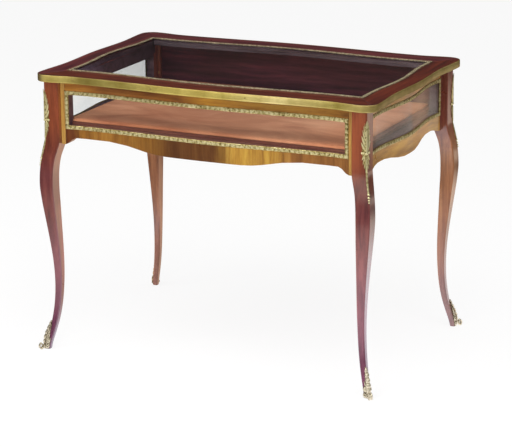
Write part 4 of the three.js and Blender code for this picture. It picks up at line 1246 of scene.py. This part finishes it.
def floor_glow(paint):
    """How bright the floor looks in the varnish: bright near the table and behind it, dark far in front."""
    place = paint.place()
    length = paint.add("VectorMath", "Value", operation="LENGTH", i0=place)
    way = paint.add("VectorMath", operation="NORMALIZE", i0=place)
    left = paint.dot(place, LEFT_WAY)
    behind = paint.add("SeparateXYZ", 1, Vector=place)
    shade = paint.times(paint.step(left, 0.2, -0.15), paint.step(behind, -0.25, 0.1))
    dimmed = paint.combine("SUBTRACT", 1.0, paint.times(shade, LEFT_DIMMING))
    near = paint.times(paint.step(length, 1.8, 0.55), dimmed)
    glow = paint.plus(paint.times(near, NEAR_GLOW), FAR_GLOW)
    for direction, spread, start, end, strength in GLOW_PATCHES:
        share = paint.step(paint.dot(way, direction), spread, 1.0)
        share = paint.times(share, paint.step(length, start, start + 0.5))
        share = paint.times(share, paint.step(length, end, end - 0.8))
        glow = paint.plus(glow, paint.times(share, strength))
    start, end, strength = LEFT_GLOW
    share = paint.times(paint.step(length, start, start + 0.4), shade)
    share = paint.times(paint.step(length, end, end - 0.6), share)
    share = paint.times(paint.step(left, -0.55, -0.3), share)
    return paint.plus(glow, paint.times(share, strength)), near, shade


@material
def paper(paint):
    """White paper: to the eye it is nearly all glow, so that the shadows stay faint; to gloss it shows a
    painted glow, bright near the table and in patches.
    """
    matt = paint.add("BsdfDiffuse", Color=(0.82, 0.82, 0.82, 1))
    glow = paint.add("Emission", Color=WHITE, Strength=0.83)
    both = paint.add("AddShader", i0=glow, i1=paint.add("BsdfDiffuse", Color=(0.2, 0.2, 0.2, 1)))
    strength, near, shade = floor_glow(paint)
    tint = paint.ramp(near, ((0.0, 1.0, 0.86, 0.72), (0.4, 1.0, 0.86, 0.78), (1.0, 0.93, 0.92, 1.0)))
    tint = paint.blend(shade, tint, LEFT_TINT, "MIX")
    mirrored = paint.add("Emission", Color=tint, Strength=strength)
    seen = paint.combine("MAXIMUM", paint.ray("Camera"), paint.ray("Transmission"))
    paint.show(paint.mix(paint.ray("Glossy"), paint.mix(seen, matt, both), mirrored))


@material
def dark_room(paint):
    """What gloss sees above the floor: nearly nothing at the horizon and a white ceiling."""
    up = paint.add("SeparateXYZ", 2, Vector=paint.place())
    ceiling = paint.step(up, ROOM_RADIUS * 0.62, ROOM_RADIUS * 0.9)
    paint.show(paint.add("Emission", Color=WHITE, Strength=paint.plus(paint.times(ceiling, 1.1), 0.022)))


def set_up(name, finish, only_gloss=True):
    """Names the piece made last and gives it its finish; if only gloss is to see it, hides it from every
    other ray.
    """
    piece = bpy.context.object
    piece.name = name
    piece.data.materials.append(finish)
    if only_gloss:
        piece.visible_camera = False
        piece.visible_diffuse = False
        piece.visible_transmission = False
        piece.visible_shadow = False


@material
def card_white(paint, strength):
    """White that fades towards the edges of a square."""
    spot = paint.add("TexCoord", "UV")
    centred = paint.add("Mapping", Vector=spot, Location=(-1, -1, 0), Scale=(2, 2, 0))
    fade = paint.add("TexGradient", "Fac", gradient_type="SPHERICAL", Vector=centred)
    glow = paint.times(paint.step(fade, 0.0, 0.7), strength)
    paint.show(paint.add("Emission", Color=(1, 0.97, 0.9, 1), Strength=glow))


def card(name, azimuth, distance, width, foot, top, strength):
    """A card that only gloss sees: it lights up brass and leaves varnish dark."""
    turn = radians(azimuth)
    bpy.ops.mesh.primitive_plane_add(size=1)
    board = bpy.context.object
    board.scale = (width, top - foot, 1)
    board.rotation_euler = (pi / 2, 0, turn)
    board.location = (sin(turn) * distance, -cos(turn) * distance, (foot + top) / 2)
    settle(board)
    set_up(name, card_white(name, strength))


def lamp(name, azimuth, elevation, distance, size, power, mirrored=True):
    """A soft lamp that looks at the middle of the table's case, with or without its own reflection."""
    data = bpy.data.lights.new(name, "AREA")
    data.shape = "SQUARE"
    data.size = size
    data.energy = power
    light = bpy.data.objects.new(name, data)
    away = away_from(azimuth, elevation)
    light.location = Vector((0, 0, 0.6)) + away * distance
    light.rotation_euler = away.to_track_quat("Z", "Y").to_euler()
    light.visible_glossy = mirrored
    bpy.context.collection.objects.link(light)


bpy.ops.mesh.primitive_circle_add(vertices=96, radius=FLOOR_RADIUS, fill_type="NGON")
set_up("floor", paper("floor_paper"), only_gloss=False)
bpy.ops.mesh.primitive_uv_sphere_add(segments=32, ring_count=16, radius=ROOM_RADIUS)
set_up("dark_room", dark_room("room_dark"))
card("front_card", -10, 2.9, 2.2, 0.14, 1.9, 1.1)
card("corner_card", 38, 2.9, 0.8, 0.14, 1.7, 1.4)
lamp("key_lamp", 40, 58, 3.4, 2.4, 46)
lamp("fill_lamp", -35, 50, 3.6, 1.8, 26)
lamp("front_lamp", 6, 13, 3.4, 1.8, 46, mirrored=False)

bpy.context.scene.view_settings.view_transform = "Standard"
